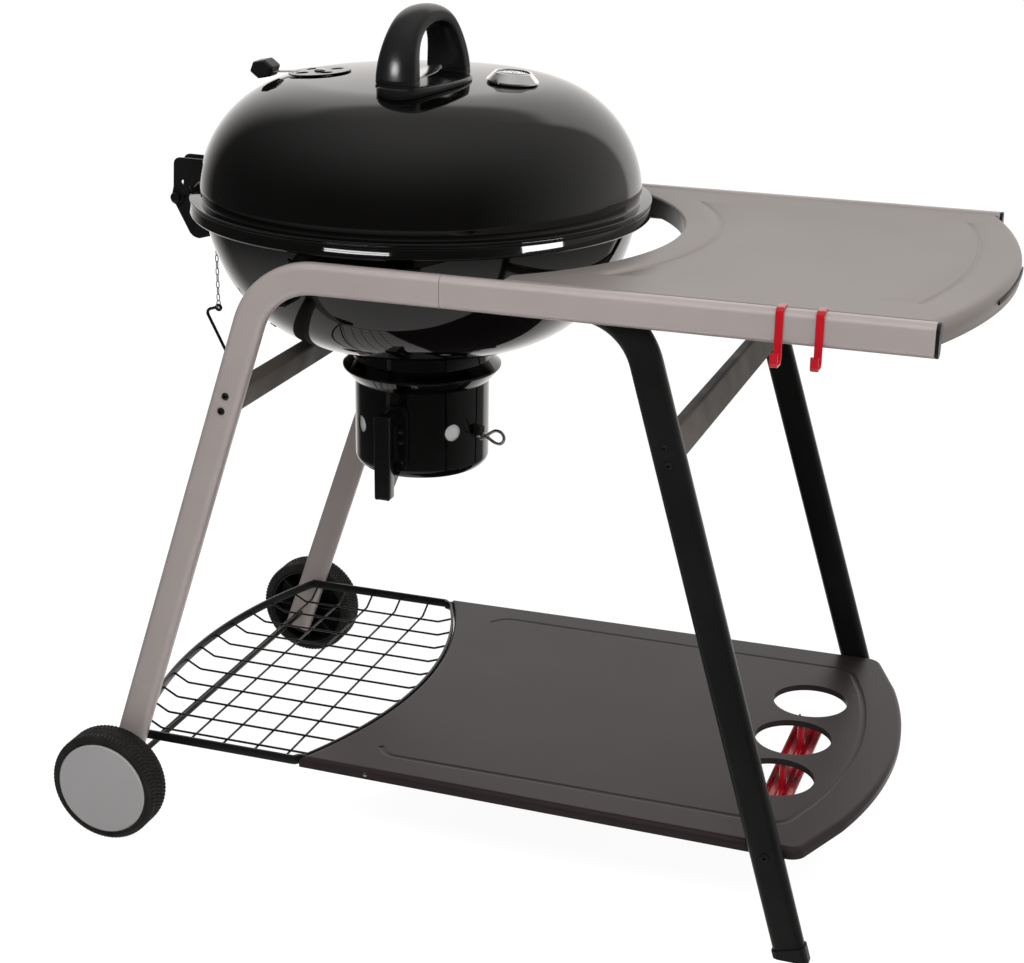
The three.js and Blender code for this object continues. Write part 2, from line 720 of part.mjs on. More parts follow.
// Black strip round the middle of the table's curved end.
function endTrim() {
  const endRadius = arcRadius(tableHalf, tableBulge);
  const turnAt = (y) => Math.asin(y / endRadius);
  const points = [];
  for (let i = 0; i <= 10; i++) {
    const turn = turnAt(trimMiddleY - trimHalf + (2 * trimHalf * i) / 10);
    points.push(new THREE.Vector2(
      tableEndX - endRadius + endRadius * Math.cos(turn), endRadius * Math.sin(turn),
    ));
  }
  return band(points, gap, gap + 2, tableTop - tableFlange + 2, tableTop - tableFoldRadius - 1);
}
piece("table_end_trim", endTrim(), blackPlastic);

// ---------------------------------------------------------------- bottom shelf

const panelHalfLeft = basketHalf + gap + shelfSheet;
const joinEdge = bulgeEdge(shelfJoinX, panelHalfLeft, shelfJoinBulge);

// Outline of the panel's folded edge, from its front left corner round its right end.
function panelEdge() {
  const endArc = bulgeEdge(shelfEnd, panelHalfRight, shelfBulge);
  const corner = (sign, next) => {
    const points = [at(shelfJoinX, sign * panelHalfLeft, 0), at(endArc[0].x, sign * panelHalfRight, 0), next];
    return bentPath(points, shelfCorner, 4).slice(1, -1).map((p) => new THREE.Vector2(p.x, p.y));
  };
  const nextX = endArc[3].x;
  const nextY = Math.abs(endArc[3].y);
  const front = corner(-1, at(nextX, -nextY, 0));
  const rear = corner(1, at(nextX, nextY, 0)).reverse();
  return [
    new THREE.Vector2(shelfJoinX, -panelHalfLeft), ...front, ...endArc.slice(3, -3), ...rear,
    new THREE.Vector2(shelfJoinX, panelHalfLeft),
  ];
}

// Middle line of the panel's pressed border: along the front, round the right end and back along the rear.
function panelBorder() {
  const endRadius = arcRadius(panelHalfRight, shelfBulge);
  const centre = shelfEnd + shelfBulge - endRadius;
  const arc = arcPoints(centre, endRadius - shelfBorder, shelfBorderHalf - 60, 8);
  const cornerX = centre + Math.sqrt((endRadius - shelfBorder) ** 2 - shelfBorderHalf ** 2);
  const side = (sign, next) => {
    const points = [
      at(shelfBorderStart, sign * (shelfBorderHalf - 20), 0), at(shelfBorderStart + 16, sign * shelfBorderHalf, 0),
      at(cornerX, sign * shelfBorderHalf, 0), at(next.x, sign * Math.abs(next.y), 0),
    ];
    return bentPath(points, 24, 3).slice(0, -1).map((p) => new THREE.Vector2(p.x, p.y));
  };
  return [...side(-1, arc[0]), ...arc, ...side(1, arc[arc.length - 1]).reverse()];
}

function shelfPanel() {
  const edge = panelEdge();
  const outline = [...offsetEdge(edge, -shelfFoldRadius - 1), ...offsetEdge(joinEdge, 0.5).slice(1, -1).reverse()];
  const sheet = plate(new THREE.Shape(outline), shelfTop - shelfSheet, shelfTop);
  const fold = foldedEdge(edge, shelfTop, shelfSheet, shelfFoldRadius, shelfSkirt);
  const joinSkirt = band(joinEdge.slice(1, -1), 0, shelfSheet, shelfTop - shelfSkirt, shelfTop - shelfSheet / 2);
  let body = pressGroove(join(sheet, fold, joinSkirt), panelBorder(), tableGroove, shelfTop, shelfSheet);
  for (const k of [-1, 0, 1]) {
    const centre = (z) => at(bottleX, k * bottlePitch, z);
    const lip = rod(centre(shelfTop - 8), centre(shelfTop - shelfSheet / 2), bottleHoleRadius + shelfSheet, 20);
    body = cut(join(body, lip), rod(centre(shelfTop - 12), centre(shelfTop + 9), bottleHoleRadius, 20));
  }
  return body;
}
piece("shelf_panel", shelfPanel(), shelfPaint);

// Welded wire basket: a flat-bar rim with round wires bent down into a shallow tray.
function wireBasket() {
  const wire = roundContour(basketWire / 2, 4);
  const top = shelfTop - shelfSheet - gap;
  const low = top - basketBarHeight;
  const leftEdge = bulgeEdge(basketLeftX, basketHalf - 1, -basketLeftBulge);
  const rightEdge = offsetEdge(joinEdge, -gap - basketBar / 2 - 0.9);
  const lastPoint = rightEdge[rightEdge.length - 1];
  rightEdge[0].set(shelfJoinX - 8, 2 - basketHalf);
  lastPoint.set(shelfJoinX - 8, basketHalf - 2);
  const bars = [
    band(leftEdge, 0, basketBar, low, top),
    band(rightEdge, -basketBar / 2, basketBar / 2, low, top),
  ];
  const step = shelfFoldRadius - shelfSheet;
  const longBar = join(
    block(basketLeftX, basketHalf - basketBar, low, shelfJoinX - 4, basketHalf, top),
    block(shelfJoinX - 14, basketHalf - basketBar - step, low, shelfJoinX - 4, basketHalf, top),
    block(shelfJoinX - 14, basketHalf - basketBar - step, low, basketTail, basketHalf - step, top),
  );
  const wires = [];
  const floor = top - basketDepth;
  const level = top - basketBarHeight / 2;
  const rise = 10;
  const slope = 22;
  const edgeAt = (edge, y) => {
    const next = edge.findIndex((p) => p.y > y);
    const [a, b] = [edge[next - 1], edge[next]];
    return a.x + ((b.x - a.x) * (y - a.y)) / (b.y - a.y);
  };
  const longWires = Math.floor((basketHalf - 20) / basketPitch);
  for (let n = -longWires; n <= longWires; n++) {
    const y = n * basketPitch;
    const [x0, x1] = [edgeAt(leftEdge, y) + basketBar / 2, edgeAt(rightEdge, y)];
    const path = [at(x0, y, level), at(x0 + slope, y, floor), at(x1 - slope, y, floor), at(x1, y, floor + 8)];
    wires.push(sweep(wire, path, Y));
  }
  const under = floor - basketWire * 0.8;
  const half = basketHalf - basketBar / 2;
  for (let x = basketLeftX + 10; x < shelfJoinX - 10; x += basketPitch) {
    const path = [at(x, -half, level), at(x, rise - half, under), at(x, half - rise, under), at(x, half, level)];
    wires.push(sweep(wire, path, X));
  }
  return join(...bars, longBar, mirrorY(longBar), ...wires);
}
piece("wire_basket", wireBasket(), blackPaint);

// Ribbed channel under the bottle holes, held by two posts.
function bottleRest() {
  const low = shelfTop - restDrop - 12;
  const half = restWidth / 2;
  const upper = [[-half, 13], [2 - half, 13], [5 - half, 2], [-7, 2], [-3, 9], [3, 9], [7, 2], [half - 5, 2]];
  const lower = [[half - 2, 13], [half, 13], [half - 3, 0], [5, 0], [1.5, 7], [-1.5, 7], [-5, 0], [3 - half, 0]];
  const contour = [...upper, ...lower].map(([x, z]) => new THREE.Vector2(x, z));
  let body = sweep(contour, [at(bottleX, restHalfLength, low), at(bottleX, -restHalfLength, low)], X);
  for (const k of [-0.5, 0.5]) {
    const y = k * bottlePitch;
    body = join(body, rod(at(bottleX, y, low + 4), at(bottleX, y, shelfTop - shelfSheet - gap), 4.5, 12));
  }
  return body;
}
piece("bottle_rest", bottleRest(), redPaint);

// ---------------------------------------------------------------- kettle bowl

// Outer profile point of the bowl at a height, drawn `wall` inside its outer face.
function bowlRadiusAt(z, wall = 0) {
  const drop = Math.min((bowlSpring - z) / (bowlDepth - wall), 1);
  const sine = drop ** 0.8;
  return (bowlRadius - wall) * Math.sqrt(1 - sine * sine) ** 0.526;
}

// Height at which the bowl, drawn `wall` inside its outer face, has shrunk to a radius.
function bowlHeightAt(radius, wall = 0) {
  const cosine = (radius / (bowlRadius - wall)) ** (1 / 0.526);
  return bowlSpring - (bowlDepth - wall) * Math.sqrt(1 - cosine * cosine) ** 1.25;
}

const bowlDrops = [0.0739, 0.2176, 0.3824, 0.5473, 0.691, 0.808, 0.8984, 0.9622]; // shares of its depth
const bowlHeights = bowlDrops.map((t) => bowlSpring - t * bowlDepth);
const bowlOutline = (wall) => [
  ...bowlHeights.map((z) => [bowlRadiusAt(z + wall * 0.5, wall), z + wall * 0.5]),
  [bowlOutletRadius, bowlHeightAt(bowlOutletRadius, wall)],
];

// Radius left inside the bowl's faceted wall at a height.
function insideBowl(z) {
  return bowlRadiusAt(z, sheetWall) * Math.cos(Math.PI / kettleFacets) - gap;
}

// Ledges spot-welded inside the bowl that carry a grate from below.
function ledges(z, count, depth) {
  const parts = [];
  for (let i = 0; i < count; i++) {
    const reach = bowlRadiusAt(z, sheetWall) + 0.9;
    const ledge = block(reach - depth, -9, z - 3, reach, 9, z);
    parts.push(ledge.rotate([0, 0, 45 + (i * 360) / count]));
  }
  return parts;
}

function bowl() {
  const mouth = bowlRadius - sheetWall - 1;
  const rim = [
    [mouth, rimTop - 2], [mouth + 2, rimTop], [rimRadius - 2, rimTop], [rimRadius, rimTop - 2],
    [rimRadius, rimBottom + 1.2], [rimRadius - 1.2, rimBottom], [rimRadius - 3, rimBottom + 1.2],
    [rimRadius - 3, rimTop - 4], [bowlRadius + 1, rimTop - 5],
  ];
  const shell = revolveRing([...rim, ...bowlOutline(0), ...bowlOutline(sheetWall).reverse()], kettleFacets);
  const grateBottom = cookingGrateZ - grateWire / 2 - gap;
  const coalBottom = charcoalGrateZ - grateWire / 2 - gap;
  return join(shell, ...ledges(grateBottom, 4, 16), ...ledges(coalBottom, 4, 20));
}
piece("bowl", bowl(), blackEnamel);

// Everything inside the bowl's outer face grown by a clearance, used to fit pieces to the bowl.
function bowlEnvelope(clearance) {
  const outer = bowlOutline(-clearance);
  const top = [[0, lidTop], [rimRadius + clearance, lidTop], [rimRadius + clearance, rimBottom - clearance]];
  const under = [[bowlRadius + clearance, rimBottom - clearance]];
  return revolve([...top, ...under, ...outer, [0, outer[outer.length - 1][1]]], kettleFacets);
}

// Pressed bracket between a cart tube and the bowl.
function bowlBracket(x, z, face) {
  const half = 19;
  const inner = Math.sqrt(bowlRadiusAt(z) ** 2 - x * x) - 12;
  const upright = block(x - half, face - 3, z - 14, x + half, face, z + 14);
  const ledge = block(x - half, inner, z - 14, x + half, face, z - 11);
  const lip = block(x - half, inner, z - 14, x + half, face - 10, z + 12);
  const hug = cut(lip, bowlEnvelope(gap + 3));
  return cut(join(upright, ledge, cut(lip, hug)), bowlEnvelope(gap));
}
for (const [side, sign] of sides) {
  const legZ = railAxisZ - 26;
  const legFace = leftLegYAt(legZ - 14) - tubeWidth / 2 - gap;
  for (const [end, x, z, face] of [["left", -78, legZ, legFace], ["right", 78, railAxisZ, railInnerY - gap]]) {
    const bracket = bowlBracket(x, z, face);
    piece(`bowl_bracket_${side}_${end}`, sign < 0 ? mirrorY(bracket) : bracket, blackPaint);
  }
}

// ---------------------------------------------------------------- ash catcher

function ashCollar() {
  const wall = 1.6;
  const neck = 88;
  const mouth = canRadius + gap;
  return revolveRing([
    [mouth, collarBottom], [mouth + 1.2 * wall, collarBottom], [collarTipRadius, collarTipZ - 1.5],
    [collarTipRadius, collarTipZ + 1], [neck, collarTipZ + 11], [neck, bowlHeightAt(neck) - 3], [96, bowlHeightAt(96) - gap],
    [neck - wall, bowlHeightAt(neck) - 3.5], [neck - wall, collarTipZ + 9.5], [collarTipRadius - 6, collarTipZ],
    [mouth, collarTipZ - 6],
  ], canFacets);
}
piece("ash_collar", ashCollar(), blackEnamel);

function ventHoles(body, radius, depth) {
  let bored = body;
  for (let i = 0; i < 4; i++) {
    const hole = rod(at(radius - depth, 0, canVentZ), at(radius + depth, 0, canVentZ), canVentRadius, 12);
    bored = cut(bored, hole.rotate([0, 0, canVentAngle + 90 * i]));
  }
  return bored;
}

function ashCan() {
  const [r, w] = [canRadius, canWall];
  const shell = revolve([
    [0, canBottom], [r - 14, canBottom], [r - 4, canBottom + 4], [r, canBottom + 12], [r, canTop],
    [r - w, canTop], [r - w, canBottom + 12.5], [r - w - 3.5, canBottom + 5.3], [r - 14.5, canBottom + w],
    [0, canBottom + w],
  ], canFacets);
  const lug = block(r - 1, -6, clipZ - 5, r + 10, 6, clipZ + 5);
  const hole = rod(at(r - 6, 0, clipZ), at(r + 12, 0, clipZ), clipWire + gap, 10);
  const placed = [0, 0, clipAngle];
  const stopTop = canVentZ - damperHalf - gap;
  const stop = block(r - w - 4, -4, stopTop - 3, r - w + 0.8, 4, stopTop);
  const stops = [30, 150, 270].map((turn) => stop.rotate([0, 0, turn]));
  return cut(join(ventHoles(shell, r, 6), lug.rotate(placed), ...stops), hole.rotate(placed));
}
piece("ash_can", ashCan(), blackEnamel);

// Sleeve that turns inside the can, on its three stops. At rest it closes the can's holes.
function ashDamper() {
  const outer = (canRadius - canWall) * Math.cos(Math.PI / canFacets) - gap;
  const ring = revolveRing([
    [outer - 1.2, canVentZ - damperHalf], [outer, canVentZ - damperHalf],
    [outer, canVentZ + damperHalf], [outer - 1.2, canVentZ + damperHalf],
  ], canFacets);
  return ventHoles(ring, outer, 6).rotate([0, 0, 45]);
}
piece("ash_can_damper", ashDamper(), plainSteel);

// Upright grip on a plate hugging the can, with an arm top and bottom.
function ashCanHandle() {
  const face = canRadius + gap;
  const plateRing = revolveRing([
    [face, canBottom + 12], [face + 4, canBottom + 12], [face + 4, gripTop], [face, gripTop],
  ], canFacets);
  const backPlate = plateRing.intersect(block(-16, -gripReach, 0, 16, 0, 1000));
  const reach = (y, z) => at(0, -y, z);
  const path = bentPath([
    reach(face + 1, gripTop - 14), reach(gripReach, gripTop - 10),
    reach(gripReach, gripBottom), reach(face + 1, gripBottom + 34),
  ], 12, 4);
  const grip = sweep(boxContour(gripWidth, 17, 6), path, X);
  const canRoom = rod(at(0, 0, 0), at(0, 0, 1000), face, canFacets);
  return cut(join(backPlate, cut(grip, canRoom)), revolve([[0, 0], [face, 0], [face, 1000], [0, 1000]], canFacets));
}
piece("ash_can_handle", ashCanHandle(), blackPlastic);

// Spring clip: a straight leg through the lug and a second leg sprung below it.
function springClip() {
  const contour = roundContour(clipWire, 8);
  const [start, turn, drop] = [canRadius - 1, canRadius + 34, 7 + 2 * clipWire];
  const path = [
    at(start, 0, clipZ), at(turn, 0, clipZ), at(turn + 6, 0, clipZ - 1.6), at(turn + 8, 0, clipZ - drop / 2),
    at(turn + 6, 0, clipZ - drop + 1), at(turn, 0, clipZ - drop), at(canRadius + 22, 0, clipZ - drop + 3),
    at(canRadius + 14, 0, clipZ - drop), at(canRadius + 3, 0, clipZ - drop - 1),
  ];
  return sweep(contour, path, Y).rotate([0, 0, clipAngle]);
}
piece("ash_can_clip", springClip(), brightSteel);

// ---------------------------------------------------------------- grates

// A round wire grate: a ring, parallel rods and two cross rods under them.
function grate(z, pitch) {
  const facets = kettleFacets;
  const half = grateWire / 2;
  const hoop = (insideBowl(z - half) - half) / Math.cos(Math.PI / facets);
  const ringContour = roundContour(half, 5).map((p) => [hoop + p.x, z + p.y]);
  const parts = [revolveRing(ringContour, facets)];
  const inner = hoop - 1;
  const rodContour = roundContour(grateRod / 2, 4);
  const count = Math.floor((inner - 12) / pitch);
  for (let n = -count; n <= count; n++) {
    const reach = Math.sqrt(inner * inner - (n * pitch) ** 2);
    const y = n * pitch;
    parts.push(sweep(rodContour, [at(-reach, y, z + 0.4), at(reach, y, z + 0.4)], Y));
  }
  for (const x of [-0.45 * inner, 0.45 * inner]) {
    const reach = Math.sqrt(inner * inner - x * x);
    parts.push(sweep(rodContour, [at(x, -reach, z - 2.4), at(x, reach, z - 2.4)], X));
  }
  return { parts, inner };
}

function cookingGrate() {
  const { parts, inner } = grate(cookingGrateZ, 30);
  const [half, lean, rise] = [40, 14, 17];
  for (const sign of [-1, 1]) {
    const foot = sign * Math.sqrt(inner * inner - half * half);
    const loop = [
      at(-half, foot, cookingGrateZ), at(4 - half, foot - sign * lean, cookingGrateZ + rise),
      at(half - 4, foot - sign * lean, cookingGrateZ + rise), at(half, foot, cookingGrateZ),
    ];
    parts.push(sweep(roundContour(grateRod / 2, 6), loop, at(0, rise, sign * lean).normalize()));
  }
  return join(...parts);
}
piece("cooking_grate", cookingGrate(), plainSteel);
piece("charcoal_grate", join(...grate(charcoalGrateZ, 36).parts), plainSteel);

// ---------------------------------------------------------------- lid

const crownCentre = lidTop - lidCrownRadius;

// Height of the lid's outer face at a radius, under its crown.
const crownZ = (r) => crownCentre + Math.sqrt(lidCrownRadius ** 2 - r * r);

// Profile of the lid from its wall to its top, drawn `wall` inside its outer face.
function lidProfile(wall, steps = 6) {
  const shoulder = lidShoulderRadius - wall;
  const knuckle = lidKnuckleRadius - wall;
  const crown = lidCrownRadius - wall;
  const knuckleX = shoulder - knuckle;
  const knuckleZ = crownCentre + Math.sqrt((crown - knuckle) ** 2 - knuckleX ** 2);
  const meet = Math.atan2(knuckleZ - crownCentre, knuckleX);
  const foot = lidBottom + lidRimHeight + 3;
  const start = Math.asin((foot + lidNeckHeight - knuckleZ) / knuckle);
  const points = [[lidWallRadius - wall, foot]];
  for (let i = 0; i <= steps; i++) {
    const turn = start + ((meet - start) * i) / steps;
    points.push([knuckleX + knuckle * Math.cos(turn), knuckleZ + knuckle * Math.sin(turn)]);
  }
  for (const t of [0.35, 0.7]) {
    const turn = meet + (Math.PI / 2 - meet) * t;
    points.push([crown * Math.cos(turn), crownCentre + crown * Math.sin(turn)]);
  }
  points.push([0, lidTop - wall]);
  return points;
}

// A point of the crown with the tilt of the sheet there.
function crownPlace(x, y) {
  const r = Math.hypot(x, y);
  const degrees = 180 / Math.PI;
  return { x, y, z: crownZ(r), tilt: Math.asin(r / lidCrownRadius) * degrees, heading: Math.atan2(y, x) * degrees };
}

// Puts a body made about the Z axis onto the crown at a place, square to the sheet.
function onCrown(body, place) {
  const turned = body.rotate([0, 0, -place.heading]).rotate([0, place.tilt, 0]).rotate([0, 0, place.heading]);
  return turned.translate([place.x, place.y, place.z]);
}

// Puts a body made about the Z axis over the handle's foot, its X axis along the handle.
const onHandle = (body) => body.rotate([0, 0, handleHeading]).translate([handleX, handleY, 0]);

const ventPlace = crownPlace(ventX, ventY);
const thermometerPlace = crownPlace(thermometerX, thermometerY);
const upright = (radius, sides = 12) => rod(at(0, 0, -9), at(0, 0, 9), radius, sides);

function fourHoles(body, radius, circle) {
  let bored = body;
  for (let i = 0; i < 4; i++) {
    const turn = Math.PI / 4 + (i * Math.PI) / 2;
    bored = cut(bored, upright(radius, 10).translate([circle * Math.cos(turn), circle * Math.sin(turn), 0]));
  }
  return bored;
}

const rivetRadius = 3;
const stemRadius = 6;
const screwRadius = 3;

function lidShell() {
  const bead = lidBottom + lidRimHeight;
  const lip = [
    [lidWallRadius - sheetWall - 1, lidBottom + 3], [lidWallRadius - 1, lidBottom], [rimRadius - 2, lidBottom],
    [rimRadius, lidBottom + 2], [rimRadius, bead - 3], [rimRadius - 2.5, bead], [lidWallRadius + 5, bead + 0.5],
  ];
  let body = revolve([...lidProfile(sheetWall).reverse(), ...lip, ...lidProfile(0)], kettleFacets);
  const ventTool = cut(rod(at(0, 0, -8), at(0, 0, 8), ventHoleCircle * 2, 8), fourHoles(
    rod(at(0, 0, -8.5), at(0, 0, 8.5), ventHoleCircle * 2.2, 8), ventHoleRadius, ventHoleCircle,
  ));
  body = cut(body, onCrown(ventTool, ventPlace), onCrown(upright(rivetRadius + gap), ventPlace));
  body = cut(body, onCrown(upright(stemRadius + gap, 16), thermometerPlace));
  for (const end of [-1, 1]) {
    const hole = rod(at(end * handleScrewReach, 0, 900), at(end * handleScrewReach, 0, 999), screwRadius + gap, 12);
    body = cut(body, onHandle(hole));
  }
  return body;
}
piece("lid", lidShell(), blackEnamel);

// Everything under the lid's outer face grown by a clearance, used to fit pieces to the lid.
function lidEnvelope(clearance) {
  const bead = lidBottom + lidRimHeight + clearance;
  const rim = rimRadius + clearance;
  const foot = [[0, rimBottom - 19], [rim, rimBottom - 19], [rim, bead - 2], [rim - 2.5, bead]];
  return revolve([...foot, [lidWallRadius + 5 + clearance, bead + 0.5], ...lidProfile(-clearance)], kettleFacets);
}

// ---------------------------------------------------------------- lid vent and thermometer

const leverContour = [at(-ventKnobReach - 8, 0, 1.7), at(8 - ventDiscRadius, 0, 1.7)];
const damperLever = () => sweep(boxContour(ventLeverWidth, 1.4, 0.4, 1), leverContour, Y);
const damperDisc = fourHoles(rod(at(0, 0, gap), at(0, 0, 1.9), ventDiscRadius, 24), ventHoleRadius, ventHoleCircle);
const damper = cut(join(damperDisc, damperLever()), upright(rivetRadius + gap));
piece("vent_damper", onCrown(damper, ventPlace), blackEnamel);

const rivet = join(
  rod(at(0, 0, -4), at(0, 0, 4), rivetRadius, 12),
  revolve([[0, 2.2], [7, 2.2], [6.5, 3.6], [4, 4.8], [0, 5.2]], 16),
  revolve([[0, -4.5], [5.5, -4.5], [5.5, -2.4], [0, -2.4]], 16),
);
piece("vent_rivet", onCrown(rivet, ventPlace), brightSteel);

function ventKnob() {
  const [r, h] = [ventKnobRadius, ventKnobHeight / 2];
  const middle = 6;
  const hexagon = revolve([
    [0, middle - h], [r - 2.5, middle - h], [r, middle - h + 3], [r, middle + h - 3], [r - 3, middle + h],
    [0, middle + h],
  ], 6);
  const slot = block(-9.3, -ventLeverWidth / 2 - gap, 0.7, 40, ventLeverWidth / 2 + gap, 2.7);
  return cut(hexagon.translate([-ventKnobReach, 0, 0]), slot.translate([-ventKnobReach, 0, 0]));
}
piece("vent_knob", onCrown(ventKnob(), ventPlace), blackPlastic);

function thermometerCase() {
  const [r, h] = [thermometerRadius, thermometerHeight];
  return revolve([
    [0, -70], [2, -70], [stemRadius, -11], [stemRadius, gap], [r - 1.5, gap], [r, gap + 1.5],
    [r, h - 3], [r - 2.5, h], [r - 4.5, h], [r - 4.5, h - 5], [0, h - 5],
  ], 24);
}
const dialSeat = thermometerHeight - 5 + gap;
const dialRadius = thermometerRadius - 4.5 - gap;
const dial = revolve([[0, dialSeat], [dialRadius, dialSeat], [dialRadius, dialSeat + 0.8], [0, dialSeat + 0.8]], 24);
const glassSeat = dialSeat + 0.8 + gap;
const glass = revolve([[0, glassSeat], [dialRadius, glassSeat], [dialRadius, glassSeat + 2], [0, glassSeat + 3]], 24);
piece("thermometer_case", onCrown(thermometerCase(), thermometerPlace), brightSteel);
piece("thermometer_dial", onCrown(dial, thermometerPlace), dialWhite);
piece("thermometer_glass", onCrown(glass, thermometerPlace), clearGlass);

// ---------------------------------------------------------------- lid handle

// Moulded foot of the handle, fitted to the crown, with its two screws.
function handleBase() {
  const shape = roundedBox(handleBaseLength, handleBaseWidth, handleBaseWidth * 0.42);
  const puck = plate(shape, lidTop - 25, handleBaseTop - 3, 4);
  const crest = plate(roundedBox(handleBaseLength - 6, handleBaseWidth - 6, handleBaseWidth * 0.38),
    handleBaseTop - 4, handleBaseTop, 4);
  const body = cut(onHandle(join(puck, crest)), lidEnvelope(0.35));
  const screws = [-1, 1].map((end) => {
    const x = end * handleScrewReach;
    return onHandle(join(
      rod(at(x, 0, lidTop - 17), at(x, 0, lidTop + 4), screwRadius, 10),
      rod(at(x, 0, lidTop - 20), at(x, 0, lidTop - 15), screwRadius + 2.5, 10),
    ));
  });
  return join(body, ...screws);
}
piece("handle_base", handleBase(), blackPlastic);

const handleFootReach = handleBaseLength / 2 - handleThickness / 2 - 7;
const handleFoot = handleBaseTop + gap;
const handleBuried = handleFoot - 12; // the arch is drawn from here and cut off at its foot

// A point of the handle's arch, seen from its side, moved inwards square to it.
function archPoint(turn, inset) {
  const rise = handleTop - handleThickness / 2 - handleBuried;
  const [sine, cosine] = [Math.sin(turn), Math.cos(turn)];
  const out = at(sine / handleFootReach, 0, cosine / rise).normalize();
  return at(handleFootReach * sine, 0, handleBuried + rise * cosine).addScaledVector(out, -inset);
}

// Arch of the handle: width and thickness swell towards its feet.
function lidHandle() {
  const path = [];
  for (let i = -7; i <= 7; i++) path.push(archPoint((i / 7) * (Math.PI / 2), 0));
  const rings = path.map((point, i) => {
    const before = path[Math.max(i - 1, 0)];
    const after = path[Math.min(i + 1, path.length - 1)];
    const tangent = new THREE.Vector3().subVectors(after, before).normalize();
    const across = new THREE.Vector3().crossVectors(tangent, Y);
    const rise = THREE.MathUtils.smoothstep(point.z, handleFoot, handleTop - handleThickness);
    const width = THREE.MathUtils.lerp(handleFootWidth, handleCrestWidth, rise);
    const thickness = THREE.MathUtils.lerp(handleThickness + 3, handleThickness, rise);
    return boxContour(width, thickness, 7).map((c) => (
      point.clone().addScaledVector(Y, c.x).addScaledVector(across, c.y)
    ));
  });
  const hoop = loft(rings, boxContour(handleFootWidth, handleThickness, 7));
  return onHandle(cut(hoop, block(-200, -100, 0, 200, 100, handleFoot)));
}
piece("lid_handle", lidHandle(), blackPlastic);

// Bright plate that shields the inside of the handle: up its front leg and along its base.
function heatShield() {
  const inset = (handleThickness + 3) / 2 + 1.6;
  const strip = [];
  for (let i = 0; i <= 4; i++) strip.push(archPoint(-1.42 + 0.2 * i, inset));
  const low = handleFoot + gap;
  const sheet = 1.2;
  const tongue = block(strip[0].x - sheet / 2, -19, low, handleFootReach - inset - 8, 19, low + sheet);
  const leg = sweep(boxContour(38, sheet, 0.5, 1), [at(strip[0].x, 0, low), ...strip.slice(1)], Y);
  return onHandle(join(leg, tongue));
}
piece("handle_heat_shield", heatShield(), brightSteel);

// ---------------------------------------------------------------- hinge

// Side view of a plate as [x, z] pairs, raised along Y between y0 and y1.
function sidePlate(outline, y0, y1) {
  const shape = new THREE.Shape(outline.map(([x, z]) => new THREE.Vector2(x, z)));
  return plate(shape, -y1, -y0).rotate([90, 0, 0]);
}

const alongY = (x, z, radius, sides = 16) => rod(at(x, -40, z), at(x, 40, z), radius, sides);

function eyeOutline(x, z, radius, from, to, steps) {
  const points = [];
  for (let i = 0; i <= steps; i++) {
    const turn = ((from + ((to - from) * i) / steps) * Math.PI) / 180;
    points.push([x + radius * Math.cos(turn), z + radius * Math.sin(turn)]);
  }
  return points;
}

function lidHinge() {
  const outline = [
    ...eyeOutline(hingeX, hingeZ, 10, -150, 10, 8), [hingeX + 18, hingeZ + 8],
    [hingeX + 36, hingeZ + 25], [hingeX + 59, hingeZ + 30], [hingeX + 74, hingeZ + 33],
    [hingeX + 74, hingeZ + 52], [hingeX + 2, hingeZ + 52], [hingeX - 8, hingeZ + 38],
  ];
  const inner = lidCheekY - hingePlate;
  let body = join(
    sidePlate(outline, inner, lidCheekY), sidePlate(outline, -lidCheekY, -inner),
    block(hingeX + 45, -inner - 1, hingeZ + 41, hingeX + 74, inner + 1, hingeZ + 51.4),
  );
  body = cut(body, alongY(hingeX, hingeZ, hingePinRadius + gap), alongY(hingeX + 5, hingeZ + 36, 3.2));
  return cut(body, lidEnvelope(gap));
}
piece("lid_hinge", lidHinge(), blackPaint);

function bowlHinge() {
  const outline = [
    ...eyeOutline(hingeX, hingeZ, 9, 60, 200, 7), [hingeX + 15, hingeZ - 47],
    [hingeX + 20, hingeZ - 51.5], [hingeX + 28, hingeZ - 53.5], [hingeX + 44, hingeZ - 49],
    [hingeX + 74, hingeZ - 41], [hingeX + 96, hingeZ - 30], [hingeX + 96, hingeZ - 2],
    [hingeX + 26, hingeZ - 2], [hingeX + 11, hingeZ + 7],
  ];
  const inner = bowlCheekY - hingePlate;
  let body = join(
    sidePlate(outline, inner, bowlCheekY), sidePlate(outline, -bowlCheekY, -inner),
    block(hingeX + 51, -inner - 1, hingeZ - 18, hingeX + 96, inner + 1, hingeZ - 2),
  );
  body = cut(body, alongY(hingeX, hingeZ, hingePinRadius + gap));
  body = cut(body, rod(at(chainX, -40, chainHoleZ), at(chainX, 0, chainHoleZ), chainWire + 0.8, 12));
  return cut(body, bowlEnvelope(gap));
}
piece("bowl_hinge", bowlHinge(), blackPaint);

function hingePin() {
  const end = lidCheekY + 4;
  return join(
    rod(at(hingeX, -end, hingeZ), at(hingeX, end, hingeZ), hingePinRadius, 16),
    rod(at(hingeX, -end - 2.5, hingeZ), at(hingeX, -lidCheekY - gap, hingeZ), 6.5, 16),
    rod(at(hingeX, lidCheekY + gap, hingeZ), at(hingeX, end, hingeZ), 5.5, 16),
  );
}
piece("hinge_pin", hingePin(), brightSteel);

// ---------------------------------------------------------------- locking pin on its chain

